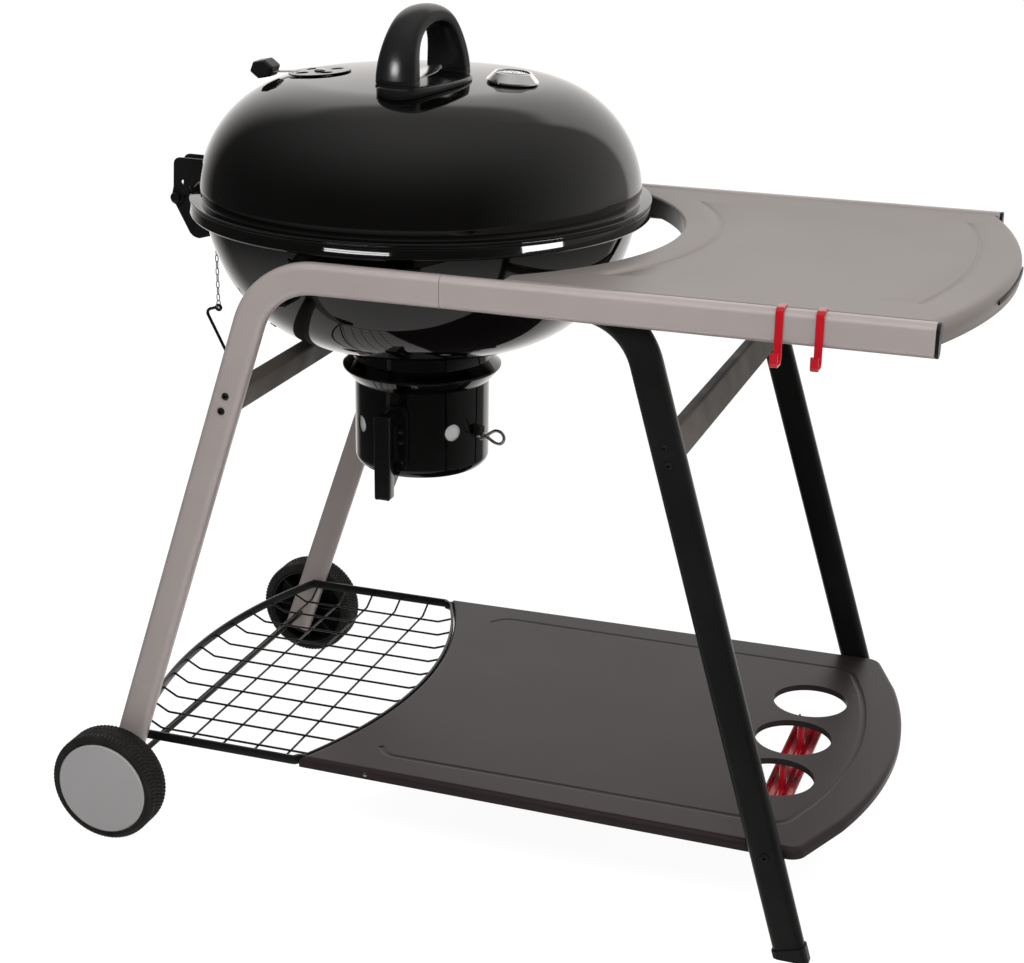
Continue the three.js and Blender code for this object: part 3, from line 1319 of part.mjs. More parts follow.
// One oblong link, lying in the X-Z or the Y-Z plane.
function chainLink(z, halfWidth, halfLength, flat) {
  const points = [];
  for (let i = 0; i < 8; i++) {
    const turn = ((i + 0.5) / 8) * 2 * Math.PI;
    const across = halfWidth * Math.cos(turn);
    const along = halfLength * Math.sign(Math.sin(turn)) * Math.abs(Math.sin(turn)) ** 0.7;
    points.push(flat ? at(chainX + across, chainY, z + along) : at(chainX, chainY + across, z + along));
  }
  return sweep(roundContour(chainWire, 4), points, flat ? Y : X, true);
}

const chainY = -(bowlCheekY - hingePlate / 2);
const firstHalf = 7.4;
const linkHalf = 5;
const firstZ = chainHoleZ - firstHalf;
const linkZ = (i) => firstZ - firstHalf + chainBite - linkHalf - (i - 1) * (2 * linkHalf - chainBite);
const ringZ = linkZ(chainLinks - 1) - linkHalf + chainBite - ringRadius;

function pinChain() {
  const links = [chainLink(firstZ, chainHalfWidth + 0.4, firstHalf, false)];
  for (let i = 1; i < chainLinks; i++) {
    links.push(chainLink(linkZ(i), chainHalfWidth, linkHalf, i % 2 === 1));
  }
  const ring = [];
  for (let i = 0; i < 10; i++) {
    const turn = (i / 10) * 2 * Math.PI;
    ring.push(at(chainX, chainY + ringRadius * Math.cos(turn), ringZ + ringRadius * Math.sin(turn)));
  }
  links.push(sweep(roundContour(chainWire, 5), ring, X, true));
  return join(...links);
}
piece("pin_chain", pinChain(), brightSteel);

function lockingPin() {
  const eyeZ = ringZ - ringRadius;
  const eyeRadius = chainWire + lockPinRadius + 0.6;
  const eye = [];
  for (let i = 0; i < 10; i++) {
    const turn = (i / 10) * 2 * Math.PI;
    eye.push(at(chainX + eyeRadius * Math.cos(turn), chainY, eyeZ + eyeRadius * Math.sin(turn)));
  }
  const path = bentPath([
    at(chainX - eyeRadius, chainY, eyeZ), at(chainX - 19, chainY, eyeZ - 4.7),
    at(chainX + 7, chainY, eyeZ - 55.7), at(chainX + 14, chainY, eyeZ - 73.7),
  ], 6, 3);
  return join(
    sweep(roundContour(lockPinRadius, 6), eye, Y, true), sweep(roundContour(lockPinRadius, 6), path, Y),
  );
}
piece("locking_pin", lockingPin(), blackPaint);

// ---------------------------------------------------------------- tool hooks

function toolHook(x) {
  const rest = hookThickness / 2 + gap;
  const outer = railHalfSpan + rest;
  const path = bentPath([
    at(x, -railInnerY - 3, railTop + rest), at(x, -outer, railTop + rest), at(x, -outer, hookBottom),
    at(x, -outer - 19, hookBottom), at(x, -outer - 19, hookBottom + 15),
  ], 4, 2);
  return sweep(boxContour(hookWidth, hookThickness, 0.8, 1), path, X);
}
for (const [name, x] of Object.entries(hookPositions)) piece(name, toolHook(x), redPaint);

export default grill;
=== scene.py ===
"""Kettle charcoal grill on a wheeled cart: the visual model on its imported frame.

Sizes are millimetres from the kettle's own axis: +X towards the side table, -Y the cook's side,
z = 0 the floor. mesh_of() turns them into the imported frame's metres.
"""

from math import acos, asin, atan2, cos, hypot, pi, radians, sin, sqrt, tan

import bmesh
import bpy
from mathutils import Matrix, Vector


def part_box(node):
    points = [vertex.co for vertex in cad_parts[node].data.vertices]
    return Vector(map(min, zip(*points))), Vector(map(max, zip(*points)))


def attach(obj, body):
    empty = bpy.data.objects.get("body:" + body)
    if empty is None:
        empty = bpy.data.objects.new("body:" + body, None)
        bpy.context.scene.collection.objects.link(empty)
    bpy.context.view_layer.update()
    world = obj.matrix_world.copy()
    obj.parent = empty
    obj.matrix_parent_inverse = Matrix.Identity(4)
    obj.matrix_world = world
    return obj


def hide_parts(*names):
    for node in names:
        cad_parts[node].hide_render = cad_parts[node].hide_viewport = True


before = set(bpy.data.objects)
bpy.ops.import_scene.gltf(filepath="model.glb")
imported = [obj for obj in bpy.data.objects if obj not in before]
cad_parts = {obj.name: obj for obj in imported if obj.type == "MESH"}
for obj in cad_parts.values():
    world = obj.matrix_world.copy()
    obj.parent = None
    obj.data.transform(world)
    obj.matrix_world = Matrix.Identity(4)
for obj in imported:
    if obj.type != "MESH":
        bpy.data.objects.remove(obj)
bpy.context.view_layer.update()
kettle_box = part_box("bowl")
AXIS_X = (kettle_box[0].x + kettle_box[1].x) / 2
MM = 0.001
GAP = 0.3

# ------------------------------------------------------------------ small helpers


def vec(x, y, z):
    return Vector((x, y, z))


X, Y, Z = vec(1, 0, 0), vec(0, 1, 0), vec(0, 0, 1)


def clamp(value, low=0.0, high=1.0):
    return max(low, min(high, value))


def smoothstep(low, high, value):
    t = clamp((value - low) / (high - low))
    return t * t * (3 - 2 * t)


def lerp(a, b, t):
    return a + (b - a) * t


def spread(low, high, count):
    """count + 1 even values from low to high."""
    return [low + (high - low) * i / count for i in range(count + 1)]


def turns(count):
    """Even angles once round."""
    return [2 * pi * k / count for k in range(count)]


def signed_power(value, power):
    return abs(value) ** power * (1 if value >= 0 else -1)


def merged(*parts):
    verts, faces = [], []
    for part_verts, part_faces in parts:
        base = len(verts)
        verts += part_verts
        faces += [tuple(i + base for i in face) for face in part_faces]
    return verts, faces


def moved(part, matrix):
    return [matrix @ v for v in part[0]], part[1]


def mirrored(part):
    return [vec(v.x, -v.y, v.z) for v in part[0]], part[1]


def turned(part, angle, axis):
    return moved(part, Matrix.Rotation(angle, 4, axis))


def turned_z(part, angle):
    return turned(part, angle, "Z")


def shifted(part, x, y, z):
    return moved(part, Matrix.Translation((x, y, z)))


# ------------------------------------------------------------------ curves and skins


def fillet(points, radius, steps=4, closed=False):
    """A polyline in 2D or 3D with its corners rounded, as far as its segments allow."""
    points = [Vector(p) for p in points]
    count = len(points)
    out = []
    for i, p in enumerate(points):
        if not closed and i in (0, count - 1):
            out.append(p)
            continue
        a, b = points[i - 1] - p, points[(i + 1) % count] - p
        angle = a.angle(b)
        if angle > radians(176):
            out.append(p)
            continue
        reach = min(radius / tan(angle / 2), a.length * 0.48, b.length * 0.48)
        size = reach * tan(angle / 2)
        a.normalize()
        b.normalize()
        centre = p + (a + b).normalized() * (size / sin(angle / 2))
        start, end = p + a * reach - centre, p + b * reach - centre
        sweep_angle = pi - angle
        for k in range(steps + 1):
            t = k / steps
            blend = start * sin((1 - t) * sweep_angle) + end * sin(t * sweep_angle)
            out.append(centre + blend / sin(sweep_angle))
    return out


def rounded_box(width, height, corner, steps=5):
    w, h = width / 2, height / 2
    return fillet([(-w, -h), (w, -h), (w, h), (-w, h)], corner, steps, closed=True)


def circle(radius, count=12):
    return [Vector((radius * cos(turn), radius * sin(turn))) for turn in turns(count)]


def smooth_curve(points, steps=6, closed=False):
    """Catmull-Rom curve through 3D points."""
    points = [Vector(p) for p in points]
    count = len(points)
    out = []
    spans = count if closed else count - 1
    for i in range(spans):
        def pick(n):
            return points[n % count] if closed else points[int(clamp(n, 0, count - 1))]
        a, b, c, d = (pick(i + n) for n in (-1, 0, 1, 2))
        for k in range(steps):
            t = k / steps
            out.append(0.5 * ((2 * b) + (c - a) * t + (2 * a - 5 * b + 4 * c - d) * t * t
                              + (3 * b - a - 3 * c + d) * t ** 3))
    if not closed:
        out.append(points[-1].copy())
    return out


def revolve(profile, count=96, closed=False):
    """(radius, height) pairs turned about the Z axis."""
    verts, rings = [], []
    for r, z in profile:
        if r < 1e-6:
            rings.append([len(verts)])
            verts.append(vec(0, 0, z))
        else:
            rings.append(list(range(len(verts), len(verts) + count)))
            verts += [vec(r * cos(turn), r * sin(turn), z) for turn in turns(count)]
    pairs = list(zip(rings, rings[1:]))
    if closed:
        pairs.append((rings[-1], rings[0]))
    faces = []
    for a, b in pairs:
        for k in range(count):
            j = (k + 1) % count
            if len(a) > 1 and len(b) > 1:
                faces.append((a[k], a[j], b[j], b[k]))
            elif len(a) > 1:
                faces.append((a[k], a[j], b[0]))
            elif len(b) > 1:
                faces.append((a[0], b[j], b[k]))
    return verts, faces


def cylinder(radius, low, high, count=40):
    return revolve([(0, low), (radius, low), (radius, high), (0, high)], count)


def eased_cylinder(radius, low, high, ease, steps, count=40):
    return revolve(fillet([(0, low), (radius, low), (radius, high), (0, high)], ease, steps), count)


def grid(rows, closed_rows=False):
    """A skin over rows of points, each row of equal length."""
    verts = [p for row in rows for p in row]
    width = len(rows[0])
    faces = []
    for i in range(len(rows) - 1):
        for k in range(width if closed_rows else width - 1):
            j = (k + 1) % width
            faces.append((i * width + k, i * width + j, (i + 1) * width + j, (i + 1) * width + k))
    return verts, faces


def capped(rows):
    verts, faces = grid(rows, closed_rows=True)
    width = len(rows[0])
    faces.append(tuple(range(width)))
    faces.append(tuple(range((len(rows) - 1) * width, len(rows) * width)))
    return verts, faces


def frames(path, side, closed):
    last = len(path) - 1
    for i, p in enumerate(path):
        before = path[i - 1] if i or closed else path[0]
        after = path[(i + 1) % (last + 1)] if i < last or closed else path[last]
        tangent = (after - before).normalized()
        lateral = (side - tangent * side.dot(tangent)).normalized()
        yield p, lateral, tangent.cross(lateral)


def sweep(contour, path, side, closed=False):
    """A contour, or a function of the step that gives one, carried along a path."""
    pick = contour if callable(contour) else (lambda i: contour)
    rows = [[p + lateral * c[0] + across * c[1] for c in pick(i)]
            for i, (p, lateral, across) in enumerate(frames(path, side, closed))]
    return grid([*rows, rows[0]], closed_rows=True) if closed else capped(rows)


def hollow(outer, inner, path, side):
    """An open-ended tube: two contours of equal point count carried along a path."""
    skins = [[[p + lateral * c[0] + across * c[1] for c in contour]
              for p, lateral, across in frames(path, side, False)] for contour in (outer, inner)]
    return grid(skins[0] + skins[1][::-1] + [skins[0][0]], closed_rows=True)


def wire(path, radius, side=Z, sides=8, closed=False):
    return sweep(circle(radius, sides), path, side, closed)


def prism(outline, low, high, axis="Z"):
    """A flat outline raised along an axis; for "Y" its points are (x, z) and for "X" they are (y, z)."""
    place = {"X": lambda p, h: vec(h, p[0], p[1]), "Y": lambda p, h: vec(p[0], h, p[1]),
             "Z": lambda p, h: vec(p[0], p[1], h)}[axis]
    count = len(outline)
    verts = [place(p, low) for p in outline] + [place(p, high) for p in outline]
    faces = [tuple(range(count)), tuple(range(count, 2 * count))]
    faces += [(k, (k + 1) % count, count + (k + 1) % count, count + k) for k in range(count)]
    return verts, faces


def block(x0, y0, z0, x1, y1, z1):
    return prism([(x0, y0), (x1, y0), (x1, y1), (x0, y1)], z0, z1)


# ------------------------------------------------------------------ objects


def placed(name, data):
    obj = bpy.data.objects.new(name, data)
    bpy.context.scene.collection.objects.link(obj)
    return obj


def mesh_of(part, name, bevel=0.0, segments=2):
    mesh = bpy.data.meshes.new(name)
    mesh.from_pydata([(v.x * MM + AXIS_X, v.y * MM, v.z * MM) for v in part[0]], [], part[1])
    bm = bmesh.new()
    bm.from_mesh(mesh)
    bmesh.ops.remove_doubles(bm, verts=bm.verts, dist=2e-6)
    bmesh.ops.recalc_face_normals(bm, faces=bm.faces)
    if bevel:
        edges = [e for e in bm.edges if len(e.link_faces) == 2 and e.calc_face_angle(0) > radians(32)]
        bmesh.ops.bevel(bm, geom=edges, offset=bevel * MM, offset_type="OFFSET", segments=segments,
                        profile=0.5, affect="EDGES", clamp_overlap=True)
    bm.to_mesh(mesh)
    bm.free()
    return mesh


def shade(obj, crease):
    obj.data.shade_smooth()
    obj.data.set_sharp_from_angle(angle=radians(crease))


def build(name, part, look, body, replaces=(), crease=34, bevel=0.0, segments=2, cutters=None,
          weighted=False):
    """One finished piece: it rides on its body and stands for the CAD nodes it replaces."""
    obj = placed(name, mesh_of(part, name, bevel, segments))
    if cutters:
        tool = placed(name + "_tool", mesh_of(cutters, name + "_tool"))
        cut = obj.modifiers.new("cut", "BOOLEAN")
        cut.operation = "DIFFERENCE"
        cut.solver = "EXACT"
        cut.object = tool
        bpy.context.view_layer.update()
        evaluated = obj.evaluated_get(bpy.context.evaluated_depsgraph_get())
        carved = bpy.data.meshes.new_from_object(evaluated)
        obj.modifiers.clear()
        old = obj.data
        obj.data = carved
        bpy.data.meshes.remove(old)
        tool_mesh = tool.data
        bpy.data.objects.remove(tool)
        bpy.data.meshes.remove(tool_mesh)
    obj.data.materials.clear()
    obj.data.materials.append(look)
    shade(obj, crease)
    if bevel or weighted:
        normals = obj.modifiers.new("normals", "WEIGHTED_NORMAL")
        normals.keep_sharp = True
    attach(obj, body)
    if replaces:
        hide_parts(*([replaces] if isinstance(replaces, str) else replaces))
    return obj


def dress(node, look, bevel=0.6):
    """A carried-over CAD node with its edges eased and its own finish."""
    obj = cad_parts[node]
    obj.data.materials.clear()
    obj.data.materials.append(look)
    weld = obj.modifiers.new("weld", "WELD")
    weld.merge_threshold = 0.00002
    ease = obj.modifiers.new("ease", "BEVEL")
    ease.width = bevel * MM
    ease.segments = 2
    ease.limit_method = "ANGLE"
    ease.angle_limit = radians(30)


# ------------------------------------------------------------------ finishes


def add_node(tree, kind, inputs=(), **settings):
    """A shader node with its own settings; each input takes a value, or a link from a socket."""
    node = tree.nodes.new("ShaderNode" + kind)
    for name, value in settings.items():
        setattr(node, name, value)
    for name, value in dict(inputs).items():
        if isinstance(value, bpy.types.NodeSocket):
            tree.links.new(value, node.inputs[name])
        elif value is not None:
            node.inputs[name].default_value = value
    return node


def emptied(owner):
    """The node tree of a material or a world, with nothing in it."""
    owner.use_nodes = True
    owner.node_tree.nodes.clear()
    return owner.node_tree


def mapped(tree, source, limits, **settings):
    """Takes a value from one range to another: (from low, from high, to low, to high)."""
    inputs = dict(zip(("From Min", "From Max", "To Min", "To Max"), limits), Value=source)
    return add_node(tree, "MapRange", inputs, **settings).outputs["Result"]


def noise(tree, scale, detail=3.0, stretch=None):
    """A cloudy value in the object's own space."""
    place = add_node(tree, "TexCoord").outputs["Object"]
    if stretch:
        place = add_node(tree, "Mapping", {"Vector": place, "Scale": stretch}).outputs["Vector"]
    return add_node(tree, "TexNoise", {"Vector": place, "Scale": scale, "Detail": detail}).outputs["Fac"]


def ranged(tree, source, low, high):
    return mapped(tree, source, (0.3, 0.7, low, high))


def finish(name, colour, roughness, metallic=0.0, tone=0.08, patch=7.0, peel=0.0, peel_size=220.0,
           grain=0.0, grain_size=1600.0, stretch=None, coat=0.0, ior=1.5, wear=0.15):
    """Paint, enamel, plastic or metal: cloudy tone and gloss, a low peel and a fine grain."""
    look = bpy.data.materials.new(name)
    tree = emptied(look)
    dark, light = [(*[min(c * (1 + shift), 1) for c in colour], 1) for shift in (-tone, tone)]
    cloud = ranged(tree, noise(tree, patch, 4.0, stretch), 0, 1)
    mix = add_node(tree, "Mix", {"A": dark, "B": light, "Factor": cloud}, data_type="RGBA")
    gloss = ranged(tree, noise(tree, patch * 2.7, 3.0, stretch), roughness * (1 - wear),
                   roughness * (1 + wear))
    normal = None
    for strength, size in ((peel, peel_size), (grain, grain_size)):
        if strength:
            bump = {"Strength": strength, "Distance": 0.0006, "Height": noise(tree, size, 2.0, stretch),
                    "Normal": normal}
            normal = add_node(tree, "Bump", bump).outputs["Normal"]
    shader = add_node(tree, "BsdfPrincipled", {
        "Base Color": mix.outputs["Result"], "Roughness": gloss, "Metallic": metallic, "IOR": ior,
        "Coat Weight": coat, "Coat Roughness": 0.05, "Normal": normal})
    add_node(tree, "OutputMaterial", {"Surface": shader.outputs["BSDF"]})
    return look


def glass_finish(name):
    look = bpy.data.materials.new(name)
    tree = emptied(look)
    smear = ranged(tree, noise(tree, 40.0, 2.0), 0.01, 0.05)
    shader = add_node(tree, "BsdfPrincipled", {"Base Color": (0.95, 0.98, 0.98, 1), "Roughness": smear,
                                               "Transmission Weight": 1.0, "IOR": 1.45})
    add_node(tree, "OutputMaterial", {"Surface": shader.outputs["BSDF"]})
    return look


taupe = finish("Taupe_paint", (0.345, 0.303, 0.292), 0.34, metallic=0.35, tone=0.05, patch=5.0, grain=0.10,
               grain_size=2600, wear=0.08)
# Painted shade: a darker copy of the taupe paint for the side table, to offset the stronger light its upward
# faces get from above.
table_taupe_painted_shade = finish("Table_taupe_painted_shade", (0.205, 0.184, 0.171), 0.42, metallic=0.35, tone=0.012, patch=3.0,
                     grain=0.12, grain_size=2600, wear=0.03)
# Painted shade: a darker copy of the taupe paint for the braces, standing for the shade they sit in under
# the bowl.
brace_taupe_painted_shade = finish("Brace_painted_shade", (0.085, 0.073, 0.064), 0.6, tone=0.08, grain=0.10, grain_size=2600,
                     ior=1.3)
black_paint = finish("Satin_black_paint", (0.005, 0.005, 0.005), 0.33, tone=0.25, grain=0.12,
                     grain_size=1500, ior=1.42)
enamel = finish("Black_enamel", (0.0012, 0.0011, 0.0010), 0.045, tone=0.3, peel=0.012, peel_size=120,
                ior=1.55)
shelf_paint = finish("Shelf_paint", (0.0175, 0.0122, 0.0132), 0.38, tone=0.03, patch=3.0, grain=0.14,
                     grain_size=1800, wear=0.03, ior=1.33)
plastic = finish("Moulded_plastic", (0.005, 0.005, 0.005), 0.42, tone=0.3, grain=0.16, grain_size=900,
                 ior=1.45)
grip_plastic = finish("Grip_plastic", (0.005, 0.005, 0.005), 0.25, tone=0.3, grain=0.06, grain_size=700)
ash_grip_plastic = finish("Ash_grip_plastic", (0.0025, 0.0025, 0.0025), 0.13, tone=0.1, grain=0.04,
                          grain_size=2400)
rubber = finish("Tyre_black", (0.010, 0.0095, 0.009), 0.66, tone=0.3, patch=30, grain=0.35, grain_size=1200)
hub_grey = finish("Hub_grey", (0.250, 0.243, 0.243), 0.55, tone=0.03, grain=0.14, grain_size=1400,
                  wear=0.05)
red_paint = finish("Red_paint", (0.30, 0.004, 0.010), 0.2, tone=0.1, peel=0.02, coat=0.3)
chrome = finish("Chrome", (0.92, 0.92, 0.92), 0.13, metallic=1.0, tone=0.03, peel=0.01)
clip_steel = finish("Clip_steel", (0.80, 0.79, 0.79), 0.16, metallic=1.0, tone=0.05, peel=0.01)
bright_steel = finish("Bright_steel", (0.66, 0.66, 0.66), 0.2, metallic=1.0, tone=0.06, patch=30,
                      stretch=(1, 14, 1), grain=0.05)
plain_steel = finish("Plated_steel", (0.46, 0.46, 0.46), 0.33, metallic=1.0, tone=0.12, patch=24,
                     grain=0.08)
lever_steel = finish("Lever_steel", (0.42, 0.42, 0.42), 0.36, metallic=0.7, tone=0.06, patch=40, grain=0.06)
sleeve_steel = finish("Sleeve_steel", (0.52, 0.52, 0.52), 0.45, metallic=0.25, tone=0.06, patch=60,
                      grain=0.2)
dial_white = finish("Dial_white", (0.78, 0.78, 0.75), 0.5, tone=0.03, patch=60)
dial_ink = finish("Dial_ink", (0.02, 0.02, 0.02), 0.5, tone=0.2, patch=60)
glass = glass_finish("Dial_glass")

# ------------------------------------------------------------------ cart tubes

RAIL_TOP, RAIL_HALF, RAIL_END, SPLICE_X = 773.0, 302.0, 682.0, 138.5
TUBE_W, TUBE_H = 20.0, 38.0
RAIL_Z = RAIL_TOP - TUBE_H / 2
RAIL_Y = RAIL_HALF - TUBE_W / 2
RAIL_INNER = RAIL_HALF - TUBE_W
STUB_Z = RAIL_Z - 3.2
STUB_Y = RAIL_INNER - GAP - TUBE_W / 2
LEFT_SLOPE, RIGHT_SLOPE = 0.335, 0.3
LEFT_SHOULDER_X, RIGHT_SHOULDER_X = -73.0, 346.0
LEFT_BEND, RIGHT_BEND = 88.0, 85.0
LEFT_LEAN, RIGHT_LEAN = 0.019, 0.036
LEFT_FOOT, FOOT_PLUG = 48.0, 14.0
BRACE_Z, BRACE_H, BRACE_W = 594.0, 36.0, 18.0
LEFT_BOLTS_Z, RIGHT_BOLTS = (604, 585), ((600, 4.5), (581, 4.5), (127, 5))
SIDES = (("front", mirrored), ("rear", lambda part: part))


def left_x(z):
    return LEFT_SHOULDER_X - LEFT_SLOPE * (RAIL_TOP - z)


def right_x(z):
    return RIGHT_SHOULDER_X + RIGHT_SLOPE * (RAIL_TOP - z)


def left_y(z):
    return RAIL_Y - LEFT_LEAN * (RAIL_Z - z)


def right_y(z):
    return STUB_Y + RIGHT_LEAN * max(RAIL_TOP - 1.5 * TUBE_H - z, 0)


TUBE = rounded_box(TUBE_W, TUBE_H, 8.5, 8)


def leg_tube(path, y_at):
    for p in path:
        p.y = y_at(p.z)
    return sweep(TUBE, path, Y)


def left_leg():
    points = [vec(left_x(LEFT_FOOT), 0, LEFT_FOOT), vec(left_x(RAIL_Z), 0, RAIL_Z),
              vec(SPLICE_X - GAP, 0, RAIL_Z)]
    return leg_tube(fillet(points, LEFT_BEND, 22), left_y)


def right_leg():
    """Bent tube that leans outwards below its bend, with a point put in where the lean starts."""
    shoulder = RIGHT_SHOULDER_X + RIGHT_SLOPE * (RAIL_TOP - STUB_Z)
    turn = acos(RIGHT_SLOPE / hypot(1, RIGHT_SLOPE))
    stub = shoulder - RIGHT_BEND * tan(turn / 2) - 70
    points = [vec(right_x(FOOT_PLUG), 0, FOOT_PLUG), vec(shoulder, 0, STUB_Z), vec(stub, 0, STUB_Z)]
    path = fillet(points, RIGHT_BEND, 22)
    split = RAIL_TOP - 1.5 * TUBE_H
    first = path[0]
    knee = first.lerp(path[1], (split - first.z) / (path[1].z - first.z)) if path[1].z > split else None
    if knee is not None:
        path.insert(1, knee)
    return leg_tube(path, right_y)


def bolt(x, y, z, radius, height):
    """Pan head with a hexagon socket on a face that looks along +Y."""
    dome = fillet([(radius, 0), (radius, height * 0.45), (radius * 0.62, height), (radius * 0.5, height)],
                  1.2, 4)
    profile = [(radius, -1.0)] + dome
    head = revolve([(0, -1.0)] + profile + [(radius * 0.42, height * 0.92)], 30)
    socket = revolve([(radius * 0.42, height * 0.92), (radius * 0.42, height * 0.25), (0, height * 0.2)], 6)
    flat = turned(merged(head, socket), -pi / 2, "X")
    return shifted(flat, x, y, z)


for side_name, flip in SIDES:
    build(f"{side_name}_leg_left_tube", flip(left_leg()), taupe, "cart",
          f"{side_name}_left_leg")
    straight = [vec(SPLICE_X, RAIL_Y, RAIL_Z), vec(RAIL_END, RAIL_Y, RAIL_Z)]
    build(f"{side_name}_rail_tube", flip(sweep(TUBE, straight, Y)), taupe, "cart",
          f"{side_name}_side_rail", bevel=0.5)
    build(f"{side_name}_leg_right_tube", flip(right_leg()), black_paint, "cart",
          f"{side_name}_right_leg")
    left_bolts = merged(*[bolt(left_x(z), left_y(z) + TUBE_W / 2, z, 4.5, 3) for z in LEFT_BOLTS_Z])
    right_bolts = merged(*[bolt(right_x(z), right_y(z) + TUBE_W / 2, z, r, 3)
                           for z, r in RIGHT_BOLTS])
    build(f"{side_name}_leg_left_bolts", flip(left_bolts), black_paint, "cart")
    build(f"{side_name}_leg_right_bolts", flip(right_bolts), black_paint, "cart")

    flange = sweep(TUBE, [vec(RAIL_END + GAP, RAIL_Y, RAIL_Z), vec(RAIL_END + 4, RAIL_Y, RAIL_Z)], Y)
    stem = sweep(rounded_box(TUBE_W - 3.8, TUBE_H - 3.8, 6.5, 6),
                 [vec(RAIL_END - 18, RAIL_Y, RAIL_Z), vec(RAIL_END + 1, RAIL_Y, RAIL_Z)], Y)
    build(f"{side_name}_rail_end_cap", flip(merged(flange, stem)), plastic, "cart",
          f"{side_name}_rail_cap", bevel=0.7)

for side_name, _ in SIDES:
    dress(f"{side_name}_rail_splice", plain_steel)
    for end in ("left", "right"):
        dress(f"bowl_bracket_{side_name}_{end}", black_paint, 0.8)
    for end in ("foot", "leg"):
        dress(f"{side_name}_{end}_plug", plastic, 0.8)


def brace(x, half, slope):
    lean = vec(slope, 0, 1).normalized()
    path = [vec(x, -half, BRACE_Z), vec(x, half, BRACE_Z)]
    outer = rounded_box(BRACE_H, BRACE_W, 4, 5)
    inner = rounded_box(BRACE_H - 3.2, BRACE_W - 3.2, 2.4, 5)
    return hollow(outer, inner, path, lean)


# Both braces wear the darker taupe copy: painted shade.
build("brace_left", brace(left_x(BRACE_Z), left_y(BRACE_Z - BRACE_H / 2) - TUBE_W / 2 - GAP, LEFT_SLOPE),
      brace_taupe_painted_shade, "cart", "left_cross_brace")
build("brace_right", brace(right_x(BRACE_Z), right_y(BRACE_Z + BRACE_H / 2) - TUBE_W / 2 - GAP,
                           -RIGHT_SLOPE), brace_taupe_painted_shade, "cart", "right_cross_brace")

# ------------------------------------------------------------------ wheels

WHEEL_R, TYRE_W, TYRE_SECTION = 72.0, 39.0, 12.0
WHEEL_X = left_x(WHEEL_R)
WHEEL_Y = left_y(WHEEL_R) + TUBE_W / 2 + 3 + TYRE_W / 2
DRUM_R = WHEEL_R - TYRE_SECTION - GAP
TREAD_RIBS, TREAD_ROWS, TREAD_DEEP, TYRE_SHOULDER = 84, 6, 1.8, 5.0
WEB = TYRE_W / 2 - 10


def on_wheel_axis(part, y):
    return shifted(turned(part, -pi / 2, "X"), WHEEL_X, y, WHEEL_R)


def tyre():
    """Solid rubber tyre: rows of short cross ribs, each row half a rib round from the last."""
    half, inner = TYRE_W / 2, WHEEL_R - TYRE_SECTION
    per_rib = 5
    around = TREAD_RIBS * per_rib
    arc = [(WHEEL_R - TYRE_SHOULDER + TYRE_SHOULDER * sin(turn),
            TYRE_SHOULDER - half - TYRE_SHOULDER * cos(turn)) for turn in spread(0, pi / 2, 6)]
    span = 2 * (half - TYRE_SHOULDER)
    tread = [(WHEEL_R, TYRE_SHOULDER - half + span * t, t) for t in spread(0, 1, TREAD_ROWS * 4)[1:-1]]
    across = [*[(r, y, 0.0) for r, y in arc], *tread, *[(r, -y, 1.0) for r, y in reversed(arc)]]
    rings = []
    side = [(inner, -half + 0.8), (inner + 1.0, -half + 0.2), (inner + 2.2, -half + 0.9),
            (inner + 4.5, -half + 0.9), (inner + 5.6, -half)]
    column = [(inner, 0.0, None), *[(r, y, None) for r, y in side], *across,
              *[(r, -y, None) for r, y in reversed(side)]]
    for n in range(around):
        angle = 2 * pi * n / around
        ring = []
        for r, y, t in column:
            radius = r
            if t is not None and abs(y) < half - 1.2:
                row = min(int(t * TREAD_ROWS), TREAD_ROWS - 1)
                within = t * TREAD_ROWS - row
                phase = (n / per_rib + 0.5 * (row % 2)) % 1.0
                seam = 0.0 < t < 1.0 and not 0.13 <= within <= 0.87
                if phase < 0.42 or seam:
                    radius -= TREAD_DEEP
            ring.append(vec(radius * cos(angle), radius * sin(angle), y))
        rings.append(ring)
    rings.append(rings[0])
    return grid(rings, closed_rows=True)


def wheel_body():
    half = TYRE_W / 2
    inside = DRUM_R - 4
    profile = fillet([(4.3, -half - 2), (13, -half - 2), (15, WEB - 4), (inside, WEB - 4),
                      (inside, -half + 1), (DRUM_R, -half + 1), (DRUM_R, half), (inside, half),
                      (inside, WEB), (4.3, WEB)], 1.2, 3, closed=True)
    drum = revolve(profile, 96, closed=True)
    rib = block(14, -1.2, -half + 5, inside + 0.5, 1.2, WEB - 3.5)
    return merged(drum, *[turned_z(rib, turn) for turn in turns(8)])


def hub_cap():
    """Plain flat disc with a rounded edge, seated in the wheel's drum."""
    seat = TYRE_W / 2 + GAP
    inset = DRUM_R - 4 - GAP
    profile = [(0, seat), (inset - 2.5, seat), (inset - 2.5, WEB + 1), (inset, WEB + 1), (inset, seat)]
    face = fillet([(60.5, seat), (60.5, seat + 1.2), (58.5, seat + 2.6), (0, seat + 2.6)], 1.0, 4)
    return revolve(profile + face, 128)


for side_name, flip in SIDES:
    body = f"wheel_{side_name}"
    build(f"{side_name}_tyre_tread", flip(on_wheel_axis(tyre(), WHEEL_Y)), rubber, body,
          f"{side_name}_tyre", crease=28)
    build(f"{side_name}_wheel_body", flip(on_wheel_axis(wheel_body(), WHEEL_Y)), plastic, body,
          f"{side_name}_wheel")
    build(f"{side_name}_hub_disc", flip(on_wheel_axis(hub_cap(), WHEEL_Y)), hub_grey, body,
          f"{side_name}_hub_cap", crease=50)
    dress(f"{side_name}_axle_clip", plain_steel, 0.3)

axle_end = WHEEL_Y + WEB + GAP + 5
axle = eased_cylinder(4, -axle_end, axle_end, 0.8, 3, 32)
build("axle_rod", shifted(turned(axle, -pi / 2, "X"), WHEEL_X, 0, WHEEL_R), black_paint, "cart",
      "axle")

# ------------------------------------------------------------------ side table

